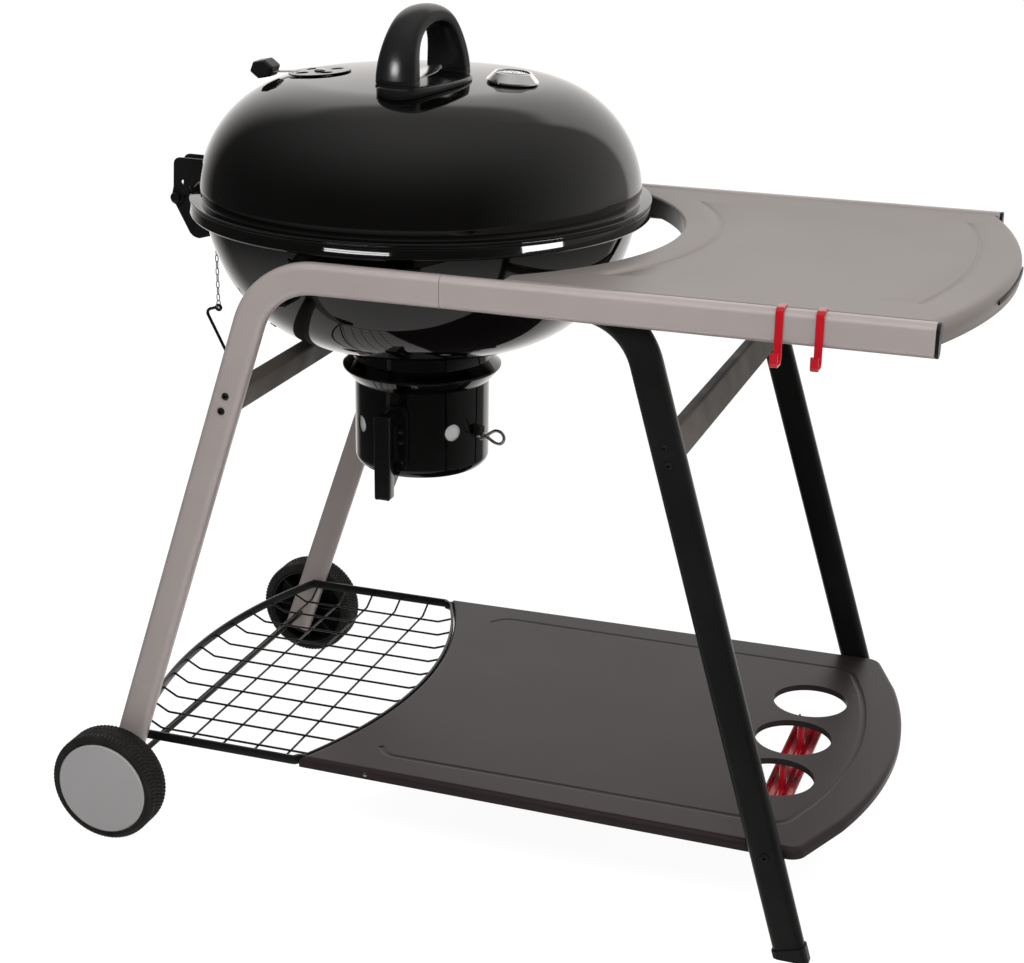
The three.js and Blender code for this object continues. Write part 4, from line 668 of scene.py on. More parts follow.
TABLE_TOP, TABLE_HALF = RAIL_TOP - 1.5, RAIL_INNER - GAP
SHEET = 1.2
CUT_R, CUT_HALF, TABLE_BULGE, FLANGE, FOLD = 330.0, 255.0, 53.0, 26.0, 11.0
TABLE_R = (TABLE_HALF ** 2 + TABLE_BULGE ** 2) / (2 * TABLE_BULGE)
TABLE_CX = RAIL_END + TABLE_BULGE - TABLE_R
GROOVE_W, GROOVE_DEEP, GROOVE_INSET = 8.0, 1.9, 50.0
TRIM_Y, TRIM_HALF = -35.0, 88.0


def cut_x(reach, y):
    inner = min(abs(y), CUT_HALF)
    return sqrt((CUT_R + reach) ** 2 - inner ** 2) - 4 * smoothstep(CUT_HALF, CUT_HALF + 5, abs(y))


def end_x(inset, y):
    return TABLE_CX + sqrt((TABLE_R - inset) ** 2 - y * y)


def groove_columns():
    """Offsets across a groove with how deep each lies."""
    return [(t * GROOVE_W / 2, GROOVE_DEEP * (1 - t * t) ** 1.5) for t in spread(-1, 1, 8)]


def side_table():
    top, skirt = TABLE_TOP, TABLE_TOP - FLANGE
    columns = [lambda y: (cut_x(0, y), top - 3)]
    for turn in spread(0, pi / 2, 4)[1:]:
        columns.append(lambda y, t=turn: (cut_x(3 - 3 * cos(t), y), top - 3 + 3 * sin(t)))

    def grooves(x_at, reach):
        """Columns across a groove that fades out at its two ends."""
        return [lambda y, offset=offset, deep=deep: (
            x_at(offset, y), top - deep * (1 - smoothstep(reach - 8, reach, abs(y))))
            for offset, deep in groove_columns()]

    columns.append(lambda y: (cut_x(28, y), top))
    columns += grooves(lambda offset, y: cut_x(GROOVE_INSET - 5 + offset, y), CUT_HALF * 0.85)
    for t in (0.12, 0.35, 0.6, 0.85):
        columns.append(lambda y, t=t: (lerp(cut_x(GROOVE_INSET - 2, y), end_x(GROOVE_INSET + 3, y), t),
                                       top))
    columns += grooves(lambda offset, y: end_x(GROOVE_INSET - offset, y), TABLE_HALF * 0.78)
    columns.append(lambda y: (end_x(30, y), top))
    for turn in spread(pi / 2, 0, 9):
        columns.append(lambda y, t=turn: (end_x(FOLD - FOLD * cos(t), y), top - FOLD + FOLD * sin(t)))
    columns.append(lambda y: (end_x(0, y), skirt))
    ys = spread(-TABLE_HALF, TABLE_HALF, 150)
    return grid([[vec(x, y, z) for x, z in (column(y) for column in columns)] for y in ys])


def thicken(obj, thickness):
    skin = obj.modifiers.new("sheet", "SOLIDIFY")
    skin.thickness = thickness * MM
    skin.offset = -1
    skin.use_even_offset = True


# The table sheet wears the darker taupe copy: painted shade against the light from above.
table = build("side_table_sheet", side_table(), table_taupe_painted_shade, "cart", "side_table", crease=40)
thicken(table, SHEET)


def cut_out_flange_painted_shade():
    """The turned-down edge round the kettle, a piece of its own so that it can be dark: its black paint is
    painted shade.
    """
    low, high = TABLE_TOP - FLANGE, TABLE_TOP - 3
    rows = []
    for y in spread(-TABLE_HALF, TABLE_HALF, 150):
        x = cut_x(0, y)
        rows.append([vec(x, y, low), vec(x, y, high), vec(x + SHEET, y, high), vec(x + SHEET, y, low)])
    return capped(rows)


# Black paint on the cut-out flange is painted shade.
build("side_table_cut_out_painted_shade", cut_out_flange_painted_shade(), black_paint, "cart", crease=40)


def table_flanges():
    start = right_x(RAIL_TOP - TUBE_H) + TUBE_H
    z0, z1 = TABLE_TOP - FLANGE, TABLE_TOP - SHEET
    side = block(start, TABLE_HALF - SHEET, z0, RAIL_END - 2, TABLE_HALF, z1)
    return merged(side, mirrored(side))


# The flanges wear the same darker taupe copy: painted shade.
build("side_table_flanges", table_flanges(), table_taupe_painted_shade, "cart", bevel=0.3)


def trim_strip():
    z0, z1 = TABLE_TOP - FOLD - 6, TABLE_TOP - FOLD - 1
    path = []
    for y in spread(TRIM_Y - TRIM_HALF, TRIM_Y + TRIM_HALF, 40):
        angle = asin(y / TABLE_R)
        radius = TABLE_R + GAP + 1
        path.append(vec(TABLE_CX + radius * cos(angle), radius * sin(angle), (z0 + z1) / 2))
    return sweep(rounded_box(z1 - z0, 2, 0.9, 4), path, Z)


build("table_trim_strip", trim_strip(), plastic, "cart", "table_end_trim")

# ------------------------------------------------------------------ bottom shelf

SHELF_TOP, SHELF_SKIRT, SHELF_FOLD = 132.4, 14.0, 7.0
SHELF_END, SHELF_BULGE, SHELF_CORNER = 575.0, 68.0, 20.0
JOIN_X, JOIN_BULGE = -60.0, 65.0
BORDER, BORDER_HALF, BORDER_START = 50.0, 228.0, 25.0
BASKET_X, BASKET_BULGE, BASKET_BAR, BASKET_TALL = -285.0, 55.0, 4.0, 12.0
BASKET_WIRE, BASKET_DEEP, BASKET_PITCH, BASKET_TAIL = 1.5, 18.0, 45.0, 20.0
BOTTLE_R, BOTTLE_PITCH, BOTTLE_X = 49.0, 114.0, 511.0
BASKET_HALF = left_y(SHELF_TOP - 20) - TUBE_W / 2 - GAP
PANEL_LEFT = BASKET_HALF + GAP + SHEET
PANEL_RIGHT = right_y(SHELF_TOP) - TUBE_W / 2 - GAP


def arc_radius(half, bulge):
    return (half * half + bulge * bulge) / (2 * bulge)


def bulge_x(x, half, bulge, y):
    """Where an edge at x lies at a given y when it curves out by `bulge` at its middle."""
    radius = arc_radius(half, abs(bulge))
    return x + (sqrt(radius * radius - y * y) - radius + abs(bulge)) * (1 if bulge > 0 else -1)


def plan_normals(outline):
    """Inward unit normals of a closed outline that runs anticlockwise, long enough to keep an even inset."""
    count = len(outline)
    normals = []
    for i, p in enumerate(outline):
        a = (p - outline[i - 1]).normalized()
        b = (outline[(i + 1) % count] - p).normalized()
        na, nb = Vector((-a.y, a.x)), Vector((-b.y, b.x))
        middle = (na + nb).normalized()
        normals.append(middle / max(middle.dot(na), 0.5))
    return normals


def folded_sheet(outline, top, sheet, fold, skirt, steps=7):
    """A flat sheet with its whole edge folded down, as a closed solid."""
    normals = plan_normals(outline)
    outside, inside = [(0.0, top - skirt)], [(sheet, top - skirt)]
    for k in range(steps + 1):
        turn = pi / 2 * k / steps
        outside.append((fold * (1 - cos(turn)), top - fold + fold * sin(turn)))
        under = fold - sheet
        inside.append((fold - under * cos(turn), top - fold + under * sin(turn)))
    rings = [[vec(p.x + n.x * inset, p.y + n.y * inset, z) for p, n in zip(outline, normals)]
             for inset, z in [*reversed(inside), *outside]]
    return capped(rings)


def panel_outline():
    """Anticlockwise: the front edge, round the right end, the rear edge and the join with the basket."""
    end = [Vector((bulge_x(SHELF_END, PANEL_RIGHT, SHELF_BULGE, y), y))
           for y in spread(-PANEL_RIGHT, PANEL_RIGHT, 40)]
    corner = [Vector((JOIN_X, -PANEL_LEFT)), end[0], end[5]]
    front = fillet(corner, SHELF_CORNER, 8)[:-1]
    rear = [Vector((p.x, -p.y)) for p in reversed(front)]
    long_front = [front[0].lerp(front[1], t) for t in spread(0, 1, 10)][1:-1]
    long_rear = [Vector((p.x, -p.y)) for p in reversed(long_front)]
    join = [Vector((bulge_x(JOIN_X, PANEL_LEFT, JOIN_BULGE, y), y))
            for y in spread(PANEL_LEFT, -PANEL_LEFT, 40)][1:-1]
    return [front[0], *long_front, *front[1:], *end[6:-6], *rear[:-1], *long_rear, rear[-1], *join]


def border_path():
    radius = arc_radius(PANEL_RIGHT, SHELF_BULGE)
    middle = SHELF_END + SHELF_BULGE - radius
    reach = radius - BORDER
    end = [vec(middle + sqrt(reach * reach - y * y), y, SHELF_TOP)
           for y in spread(60 - BORDER_HALF, BORDER_HALF - 60, 30)]
    corner_x = middle + sqrt(reach * reach - BORDER_HALF ** 2)
    path = [vec(BORDER_START, 20 - BORDER_HALF, SHELF_TOP), vec(BORDER_START + 16, -BORDER_HALF, SHELF_TOP),
            vec(corner_x, -BORDER_HALF, SHELF_TOP), end[0]]
    front = fillet(path, 24, 10)[:-1]
    rear = [vec(p.x, -p.y, p.z) for p in reversed(front)]
    return [*front, *end, *rear]


def flat_sweep(contour, path):
    """A contour of (sideways, up) points carried along a level path."""
    rows = []
    for i, p in enumerate(path):
        tangent = (path[min(i + 1, len(path) - 1)] - path[max(i - 1, 0)]).normalized()
        side = vec(-tangent.y, tangent.x, 0)
        rows.append([p + side * c[0] + Z * c[1] for c in contour])
    return capped(rows)


def groove_contour(width=10.0, deep=1.0):
    lens = [(t * width / 2, -deep * (1 - t * t)) for t in spread(-1, 1, 8)]
    return [*lens, (width / 2, 2.0), (-width / 2, 2.0)]


bottle_cuts = [shifted(cylinder(BOTTLE_R, -20, 5, 96), BOTTLE_X, k * BOTTLE_PITCH, SHELF_TOP)
               for k in (-1, 0, 1)]
build("shelf_sheet", folded_sheet(panel_outline(), SHELF_TOP, SHEET, SHELF_FOLD, SHELF_SKIRT), shelf_paint,
              "cart", "shelf_panel", crease=30, weighted=True,
              cutters=merged(flat_sweep(groove_contour(), border_path()), *bottle_cuts))


def bottle_lip(k):
    """Turned-down rim of a bottle hole."""
    inner, outer = BOTTLE_R, BOTTLE_R + SHEET
    profile = [(inner, -8), (outer, -8), (outer, -0.4), (inner + 2.0, 0.0), (inner + 0.6, -0.25),
               (inner, -1.2)]
    return shifted(revolve(profile, 96, closed=True), BOTTLE_X, k * BOTTLE_PITCH, SHELF_TOP)


build("shelf_bottle_lips", merged(*[bottle_lip(k) for k in (-1, 0, 1)]), shelf_paint, "cart",
      crease=60)


def screw_head(radius, edge):
    """Domed head that looks along -Y."""
    return turned(revolve([(0, -0.5), (radius, -0.5), (radius, edge), (radius - 1, 1.5), (0, 1.7)], 20),
                  pi / 2, "X")


def shelf_screws():
    return merged(*[shifted(screw_head(3.4, 0.6), x, y, SHELF_TOP - 8)
                    for x, y in ((-37, -BASKET_HALF), (30, -PANEL_LEFT - 0.4))])


build("shelf_screw_heads", shelf_screws(), plain_steel, "cart", crease=50)


def wire_basket():
    top = SHELF_TOP - SHEET - GAP
    middle = top - BASKET_TALL / 2
    bar = rounded_box(BASKET_BAR, BASKET_TALL, 1.2, 3)
    left = [vec(bulge_x(BASKET_X, BASKET_HALF - 1, -BASKET_BULGE, y) + BASKET_BAR / 2, y, middle)
            for y in spread(-(BASKET_HALF - 1), BASKET_HALF - 1, 48)]
    inset = GAP + BASKET_BAR / 2 + 0.9
    reach = BASKET_HALF - 2
    right = [vec(bulge_x(JOIN_X, PANEL_LEFT, JOIN_BULGE, y) - inset, y, middle)
             for y in spread(-reach, reach, 48)]
    right[0].x = right[-1].x = JOIN_X - 8
    parts = [flat_sweep(bar, left), flat_sweep(bar, right)]
    step = SHELF_FOLD - SHEET
    y0 = BASKET_HALF - BASKET_BAR / 2
    side = [vec(BASKET_X, y0, middle), vec(JOIN_X - 9, y0, middle), vec(JOIN_X - 5, y0 - step, middle),
            vec(BASKET_TAIL, y0 - step, middle)]
    long_bar = flat_sweep(bar, fillet(side, 3, 4))
    parts += [long_bar, mirrored(long_bar)]
    floor_z = top - BASKET_DEEP
    runs = int((BASKET_HALF - 20) // BASKET_PITCH)
    for n in range(-runs, runs + 1):
        y = n * BASKET_PITCH
        x0 = bulge_x(BASKET_X, BASKET_HALF - 1, -BASKET_BULGE, y) + BASKET_BAR / 2
        x1 = bulge_x(JOIN_X, PANEL_LEFT, JOIN_BULGE, y) - inset
        path = [vec(x0, y, middle), vec(x0 + 22, y, floor_z), vec(x1 - 22, y, floor_z),
                vec(x1, y, floor_z + 8)]
        parts.append(wire(fillet(path, 10, 4), BASKET_WIRE, Y, 10))
    under = floor_z - BASKET_WIRE * 1.6
    half = BASKET_HALF - BASKET_BAR / 2
    x = BASKET_X + 10
    while x < JOIN_X - 10:
        path = [vec(x, -half, middle), vec(x, 26 - half, under), vec(x, half - 26, under),
                vec(x, half, middle)]
        parts.append(wire(fillet(path, 8, 4), BASKET_WIRE, X, 10))
        x += BASKET_PITCH
    return merged(*parts)


build("basket_frame", wire_basket(), black_paint, "cart", "wire_basket", crease=45)


def bottle_rest():
    low = SHELF_TOP - 52
    half = 20
    upper = [(-half, 13), (2 - half, 13), (5 - half, 2), (-7, 2), (-3, 9), (3, 9), (7, 2), (half - 5, 2)]
    lower = [(half - 2, 13), (half, 13), (half - 3, 0), (5, 0), (1.5, 7), (-1.5, 7), (-5, 0), (3 - half, 0)]
    contour = fillet([Vector(p) for p in upper + lower], 1.6, 4, closed=True)
    channel = flat_sweep([(-c[0], c[1]) for c in contour],
                         [vec(BOTTLE_X, y, low) for y in spread(-150, 150, 2)])
    posts = []
    for k in (-0.5, 0.5):
        post = cylinder(4.5, low + 4, SHELF_TOP - SHEET - GAP, 32)
        posts.append(shifted(post, BOTTLE_X, k * BOTTLE_PITCH, 0))
    return merged(channel, *posts)


build("bottle_rest_channel", bottle_rest(), red_paint, "cart", "bottle_rest", crease=50)

# ------------------------------------------------------------------ kettle bowl

RIM_R, RIM_BOTTOM, RIM_TOP = 287.5, 779.0, 796.3
BOWL_R, BOWL_SPRING, BOWL_DEPTH, OUTLET_R = 272.1, 798.9, 188.0, 80.0
WALL = 1.8
DROP_POWER, SIDE_POWER = 1.6, 0.526
COOKING_Z, CHARCOAL_Z, GRATE_WIRE, GRATE_ROD = 776.0, 655.0, 2.5, 2.0


def bowl_radius(z, wall=0.0):
    drop = min((BOWL_SPRING - z) / (BOWL_DEPTH - wall), 1)
    return (BOWL_R - wall) * sqrt(1 - drop ** DROP_POWER) ** SIDE_POWER


def bowl_height(radius, wall=0.0):
    cosine = (radius / (BOWL_R - wall)) ** (1 / SIDE_POWER)
    return BOWL_SPRING - (BOWL_DEPTH - wall) * sqrt(1 - cosine * cosine) ** (2 / DROP_POWER)


def bowl_wall(wall):
    """Points down the side from under the rim to the outlet, closer together where the curve is tight."""
    points = [(bowl_radius(z, wall), z) for z in spread(788, 700, 12)]
    start = bowl_radius(700, wall)
    points += [(r, bowl_height(r, wall)) for r in spread(start, OUTLET_R, 26)[1:]]
    return points


def bowl():
    mouth = BOWL_R - WALL - 1
    ledge = fillet([(mouth, RIM_TOP - 5), (mouth, RIM_TOP), (RIM_R - 1, RIM_TOP),
                    (RIM_R - 1, RIM_TOP - 2.6), (RIM_R - 2.4, RIM_TOP - 3.4)], 1.0, 4)
    band = fillet([(RIM_R - 2.4, RIM_TOP - 4.0), (RIM_R - 1.4, RIM_TOP - 4.6), (RIM_R, RIM_BOTTOM + 2),
                   (RIM_R - 1.6, RIM_BOTTOM), (RIM_R - 5, RIM_BOTTOM), (RIM_R - 6, RIM_BOTTOM + 1.5)], 1.2,
                  4)
    under = [(RIM_R - 8, RIM_BOTTOM + 3), (RIM_R - 8, RIM_TOP - 4), (BOWL_R + 1, RIM_TOP - 5)]
    rim = ledge + band + under
    parts = [revolve(rim + bowl_wall(0) + bowl_wall(WALL)[::-1], 192, closed=True)]
    for z, deep in ((COOKING_Z - GRATE_WIRE - GAP, 16), (CHARCOAL_Z - GRATE_WIRE - GAP, 20)):
        reach = bowl_radius(z, WALL) + 0.9
        rest = block(reach - deep, -9, z - 3, reach, 9, z)
        parts += [turned_z(rest, pi / 4 + k * pi / 2) for k in range(4)]
    return merged(*parts)


bowl_shell = build("bowl_shell", bowl(), enamel, "cart", "bowl", crease=50)

# ------------------------------------------------------------------ ash catcher

COLLAR_TIP_R, COLLAR_TIP_Z, COLLAR_BOTTOM, NECK = 102.0, 579.0, 562.0, 88.0
CAN_R, CAN_TOP, CAN_BOTTOM, CAN_WALL = 86.5, 572.0, 447.0, 1.6
VENT_R, VENT_Z, VENT_ANGLE, SLEEVE_HALF = 11.0, 508.0, -42.0, 18.0
GRIP_REACH, GRIP_TOP, GRIP_BOTTOM = 130.0, 545.0, 429.0
CLIP_ANGLE, CLIP_Z, CLIP_WIRE = -16.0, 505.0, 2.1


def ash_collar():
    mouth = CAN_R + GAP
    outside = fillet([(mouth, COLLAR_BOTTOM), (mouth + 1.9, COLLAR_BOTTOM),
                      (COLLAR_TIP_R, COLLAR_TIP_Z - 1.5), (COLLAR_TIP_R, COLLAR_TIP_Z + 1),
                      (NECK + 0.3, 590), (NECK, bowl_height(NECK) - 3), (96, bowl_height(96) - GAP)], 1.6,
                     4)
    inside = [(NECK - 1.6, bowl_height(NECK) - 3.5), (NECK - 1.6, 588.5), (COLLAR_TIP_R - 6, COLLAR_TIP_Z),
              (mouth, COLLAR_TIP_Z - 6)]
    return revolve(outside + inside, 144, closed=True)


build("ash_collar_ring", ash_collar(), enamel, "cart", "ash_collar", crease=50)


def radial_holes(radius, reach, angle=0.0):
    """Four round cutters that pass through a wall at `radius`."""
    tool = cylinder(VENT_R, radius - reach, radius + reach)
    flat = shifted(turned(tool, pi / 2, "Y"), 0, 0, VENT_Z)
    return merged(*[turned_z(flat, radians(VENT_ANGLE + 90 * k + angle)) for k in range(4)])


def ash_can():
    r, w = CAN_R, CAN_WALL
    outer = fillet([(0, CAN_BOTTOM), (r - 8, CAN_BOTTOM), (r, CAN_BOTTOM + 9), (r, CAN_TOP)], 12, 8)
    inner = fillet([(r - w, CAN_TOP), (r - w, CAN_BOTTOM + 9.5), (r - w - 8, CAN_BOTTOM + w),
                    (0, CAN_BOTTOM + w)], 11, 8)
    return revolve(outer + inner, 144)


def clip_lug():
    lug = prism(fillet([(CAN_R - 1, -6), (CAN_R + 10, -6), (CAN_R + 10, 6), (CAN_R - 1, 6)], 2, 3,
                       closed=True), CLIP_Z - 5, CLIP_Z + 5)
    return turned_z(lug, radians(CLIP_ANGLE))


build("ash_can_shell", ash_can(), enamel, "ash_can", "ash_can", crease=50,
      cutters=radial_holes(CAN_R, 7))
build("ash_can_lug", clip_lug(), black_paint, "ash_can", bevel=0.5)
top_stop = VENT_Z - SLEEVE_HALF - GAP
stop = block(CAN_R - CAN_WALL - 4, -4, top_stop - 3, CAN_R - CAN_WALL + 0.8, 4, top_stop)
build("ash_can_stops", merged(*[turned_z(stop, radians(a)) for a in (30, 150, 270)]), black_paint,
      "ash_can", bevel=0.4)


def ash_sleeve():
    outer = CAN_R - CAN_WALL - GAP - 0.6
    low, high = VENT_Z - SLEEVE_HALF, VENT_Z + SLEEVE_HALF
    return revolve([(outer - 1.2, low), (outer, low), (outer, high), (outer - 1.2, high)], 144, closed=True)


build("ash_can_sleeve", ash_sleeve(), sleeve_steel, "ash_damper", "ash_can_damper",
      crease=50, cutters=radial_holes(CAN_R, 9, 45))


def ash_grip():
    """Upright bar with raised edges, held by a level arm at its top and a sloping one at its foot."""
    face = CAN_R + GAP
    half, deep, front = 10.0, 17.0, -GRIP_REACH - 8.5
    outline = [(-half, front + deep), (-half, front), (3 - half, front), (3.6 - half, front + 1.2),
               (half - 3.6, front + 1.2), (half - 3, front), (half, front), (half, front + deep)]
    outline = fillet([Vector(p) for p in outline], 0.9, 3, closed=True)
    rows = []
    for scale, z in ((0.86, GRIP_BOTTOM + 7), (0.97, GRIP_BOTTOM + 8), (1, GRIP_BOTTOM + 10),
                     (1, GRIP_TOP - 3), (0.97, GRIP_TOP - 1), (0.86, GRIP_TOP)):
        rows.append([vec(p.x * scale, front + deep / 2 + (p.y - front - deep / 2) * scale, z)
                     for p in outline])
    top = block(-8, front + deep - 2, GRIP_TOP - 18, 8, 0.5 - face, GRIP_TOP - 6)
    near, far = front + deep - 2, -face - 1
    foot = prism([(near, GRIP_BOTTOM + 9), (far, GRIP_BOTTOM + 33), (far, GRIP_BOTTOM + 46),
                  (near, GRIP_BOTTOM + 24)], -6, 6, "X")
    return merged(capped(rows), top, foot)


def back_plate():
    face = CAN_R + GAP
    rows = []
    half = asin(16 / (face + 4))
    for z in spread(CAN_BOTTOM + 13, GRIP_TOP, 12):
        ease = min(1.0, (GRIP_TOP - z) / 8, (z - CAN_BOTTOM - 13) / 8)
        width = half * (0.72 + 0.28 * sqrt(max(1 - (1 - ease) ** 2, 0)))
        inner = [vec(face * sin(t), -face * cos(t), z) for t in spread(-width, width, 12)]
        outer = [vec((face + 4) * sin(t), -(face + 4) * cos(t), z) for t in spread(width, -width, 12)]
        rows.append(inner + outer)
    return capped(rows)


def grip_screws():
    face = CAN_R + GAP + 4
    screws = [shifted(screw_head(3.2, 0.7), 0, -face, z)
              for z in (GRIP_TOP - 32, GRIP_TOP - 46, CAN_BOTTOM + 26)]
    return turned_z(merged(*screws), radians(4.5))


build("ash_grip_arm", ash_grip(), ash_grip_plastic, "ash_can", "ash_can_handle", crease=45)
build("ash_grip_plate", back_plate(), ash_grip_plastic, "ash_can", bevel=0.8)
build("ash_grip_screws", grip_screws(), ash_grip_plastic, "ash_can", crease=50)


def spring_clip():
    """Spring wire clip: one leg into the lug, a wide loop and a small one behind the crossing."""
    points = [(-1, -1), (5, -2.5), (12, -5), (20, -9), (29, -13), (36, -13), (41, -9), (42, -3), (38, 2),
              (31, 3.4), (24, 0.5), (17, -5), (11, -10), (6, -12), (2, -9.5), (4, -6)]
    path = [vec(CAN_R + u, 2.4 * sin(pi * k / 15), CLIP_Z + v) for k, (u, v) in enumerate(points)]
    return turned_z(wire(smooth_curve(path, 7), CLIP_WIRE, Y, 12), radians(CLIP_ANGLE))


build("ash_clip_wire", spring_clip(), clip_steel, "ash_clip", "ash_can_clip", crease=60)

# ------------------------------------------------------------------ grates

FACETS = 32


def grate(z, pitch):
    """A ring, parallel rods and two cross rods under them, inside the bowl's faceted wall."""
    inside = bowl_radius(z - GRATE_WIRE, WALL) * cos(pi / FACETS) - GAP
    hoop = inside - GRATE_WIRE
    ring = [vec(hoop * cos(turn), hoop * sin(turn), z) for turn in turns(128)]
    parts = [wire(ring, GRATE_WIRE, Z, 10, closed=True)]
    inner = hoop - 0.5
    count = int((inner - 12) // pitch)
    for n in range(-count, count + 1):
        reach = sqrt(inner * inner - (n * pitch) ** 2)
        parts.append(wire([vec(-reach, n * pitch, z + 0.4), vec(reach, n * pitch, z + 0.4)], GRATE_ROD, Y,
                          10))
    for x in (-0.45 * inner, 0.45 * inner):
        reach = sqrt(inner * inner - x * x)
        parts.append(wire([vec(x, -reach, z - 2.4), vec(x, reach, z - 2.4)], GRATE_ROD, X, 10))
    return parts, inner


def cooking_grate():
    parts, inner = grate(COOKING_Z, 30)
    half, lean, rise = 40, 14, 17
    for sign in (-1, 1):
        foot = sign * sqrt(inner * inner - half * half)
        loop = [vec(-half, foot, COOKING_Z), vec(4 - half, foot - sign * lean, COOKING_Z + rise),
                vec(half - 4, foot - sign * lean, COOKING_Z + rise), vec(half, foot, COOKING_Z)]
        parts.append(wire(fillet(loop, 9, 6), GRATE_ROD, vec(0, rise, sign * lean), 10))
    return merged(*parts)


build("cooking_grate_wires", cooking_grate(), plain_steel, "cooking_grate", "cooking_grate",
      crease=60)
build("charcoal_grate_wires", merged(*grate(CHARCOAL_Z, 36)[0]), plain_steel, "charcoal_grate",
      "charcoal_grate", crease=60)

# ------------------------------------------------------------------ lid

LID_BOTTOM = RIM_TOP + GAP
FLANGE_TOP = LID_BOTTOM + 2.4
LID_WALL_R, SHOULDER_R, KNUCKLE_R, CROWN_R, LID_TOP = 271.5, 275.3, 141.6, 1800.0, 948.9
CROWN_Z = LID_TOP - CROWN_R
VENT_X, LID_VENT_Y, VENT_DISC, VENT_HOLE, VENT_CIRCLE = -124.0, -27.0, 39.0, 8.0, 23.0
KNOB_REACH, KNOB_R, KNOB_TALL, LEVER_W = 74.0, 16.5, 23.0, 11.0
GAUGE_X, GAUGE_Y, GAUGE_R, GAUGE_TALL = 122.0, -12.0, 32.0, 13.0
RIVET_R, SCREW_R, GAUGE_STEM_R = 3.0, 3.0, 6.0
HANDLE_X, HANDLE_Y, HANDLE_TURN = 38.0, -85.0, radians(80)
PUCK_LONG, PUCK_WIDE, PUCK_TOP = 164.0, 74.0, 960.0
HANDLE_TOP, FOOT_W, CREST_W, THICK, SCREW_REACH = 1041.0, 54.0, 42.0, 19.0, 50.0


def crown_z(r):
    return CROWN_Z + sqrt(CROWN_R ** 2 - r * r)


def lid_wall(wall):
    """Points from the lid's wall up over its shoulder to the middle of its top."""
    shoulder, knuckle, crown = SHOULDER_R - wall, KNUCKLE_R - wall, CROWN_R - wall
    middle = shoulder - knuckle
    height = CROWN_Z + sqrt((crown - knuckle) ** 2 - middle ** 2)
    meet = atan2(height - CROWN_Z, middle)
    start = asin((FLANGE_TOP + 11 - height) / knuckle)
    points = [(LID_WALL_R + 1.2 - wall, FLANGE_TOP + 6)]
    points += [(middle + knuckle * cos(t), height + knuckle * sin(t)) for t in spread(start, meet, 40)]
    points += [(crown * cos(t), CROWN_Z + crown * sin(t)) for t in spread(meet, pi / 2, 14)[1:-1]]
    return points + [(0, LID_TOP - wall)]


def on_crown(part, x, y):
    """Puts a part made about the Z axis onto the crown, square to the sheet."""
    r = hypot(x, y)
    heading = atan2(y, x)
    turn = (Matrix.Rotation(heading, 4, "Z") @ Matrix.Rotation(asin(r / CROWN_R), 4, "Y")
            @ Matrix.Rotation(-heading, 4, "Z"))
    return moved(part, Matrix.Translation((x, y, crown_z(r))) @ turn)


def on_vent(part):
    return on_crown(part, VENT_X, LID_VENT_Y)


def on_gauge(part):
    return on_crown(part, GAUGE_X, GAUGE_Y)


def through(radius, low=-9, high=9):
    """A round cutter that passes through a sheet at z = 0."""
    return cylinder(radius, low, high)


def four_holes(radius, ring, low=-9, high=9):
    return [shifted(through(radius, low, high), ring * cos(pi / 4 + k * pi / 2),
                    ring * sin(pi / 4 + k * pi / 2), 0) for k in range(4)]


def on_handle(part):
    return shifted(turned_z(part, HANDLE_TURN), HANDLE_X, HANDLE_Y, 0)


def lid():
    lip = fillet([(LID_WALL_R - WALL, FLANGE_TOP + 2), (LID_WALL_R - WALL, LID_BOTTOM), (RIM_R, LID_BOTTOM),
                  (RIM_R, FLANGE_TOP), (LID_WALL_R + 1.6, FLANGE_TOP + 0.3),
                  (LID_WALL_R + 0.4, FLANGE_TOP + 4)], 1.1, 4)
    return revolve(lid_wall(WALL)[::-1] + lip + lid_wall(0)[1:], 256)


lid_tools = [on_vent(tool) for tool in [*four_holes(VENT_HOLE, VENT_CIRCLE), through(RIVET_R + GAP)]]
lid_tools.append(on_gauge(through(GAUGE_STEM_R + GAP)))
lid_tools += [on_handle(shifted(cylinder(SCREW_R + GAP, 900, 999), end * SCREW_REACH, 0, 0))
              for end in (-1, 1)]
build("lid_shell", lid(), enamel, "lid", "lid", crease=50, cutters=merged(*lid_tools))


def vent_disc():
    edge = fillet([(0, GAP), (VENT_DISC, GAP), (VENT_DISC, 1.9), (9, 1.9), (8, 1.9), (0, 1.9)], 0.7, 3)
    return revolve(edge, 96)


vent_tools = merged(*four_holes(VENT_HOLE, VENT_CIRCLE, -1, 4), cylinder(RIVET_R + GAP, -1, 4))
build("vent_disc", on_vent(vent_disc()), enamel, "lid_vent", "vent_damper",
      crease=40, cutters=on_vent(vent_tools), weighted=True)


def vent_lever():
    start, knob = 8 - VENT_DISC, -KNOB_REACH - 8
    outline = fillet([(start, LEVER_W * 0.9), (start + 3, 0), (start, -LEVER_W * 0.9),
                      (start - 7, -LEVER_W / 2), (knob, -LEVER_W / 2), (knob, LEVER_W / 2),
                      (start - 7, LEVER_W / 2)], 2.5, 4, closed=True)
    return prism(outline, 2.0, 3.3)


build("vent_lever", on_vent(shifted(vent_lever(), 0, 0, -0.9)), lever_steel, "lid_vent",
      bevel=0.25)


def vent_rivet():
    stem = cylinder(RIVET_R, -4, 4, 32)
    dome = fillet([(0, 2.2), (7, 2.2), (6.9, 3.2), (4.6, 4.8), (0, 5.2)], 1.5, 5)
    return merged(stem, revolve(dome, 40), cylinder(5.5, -4.5, -2.4))


build("vent_rivet_head", on_vent(vent_rivet()), bright_steel, "lid_vent",
      "vent_rivet", crease=50)


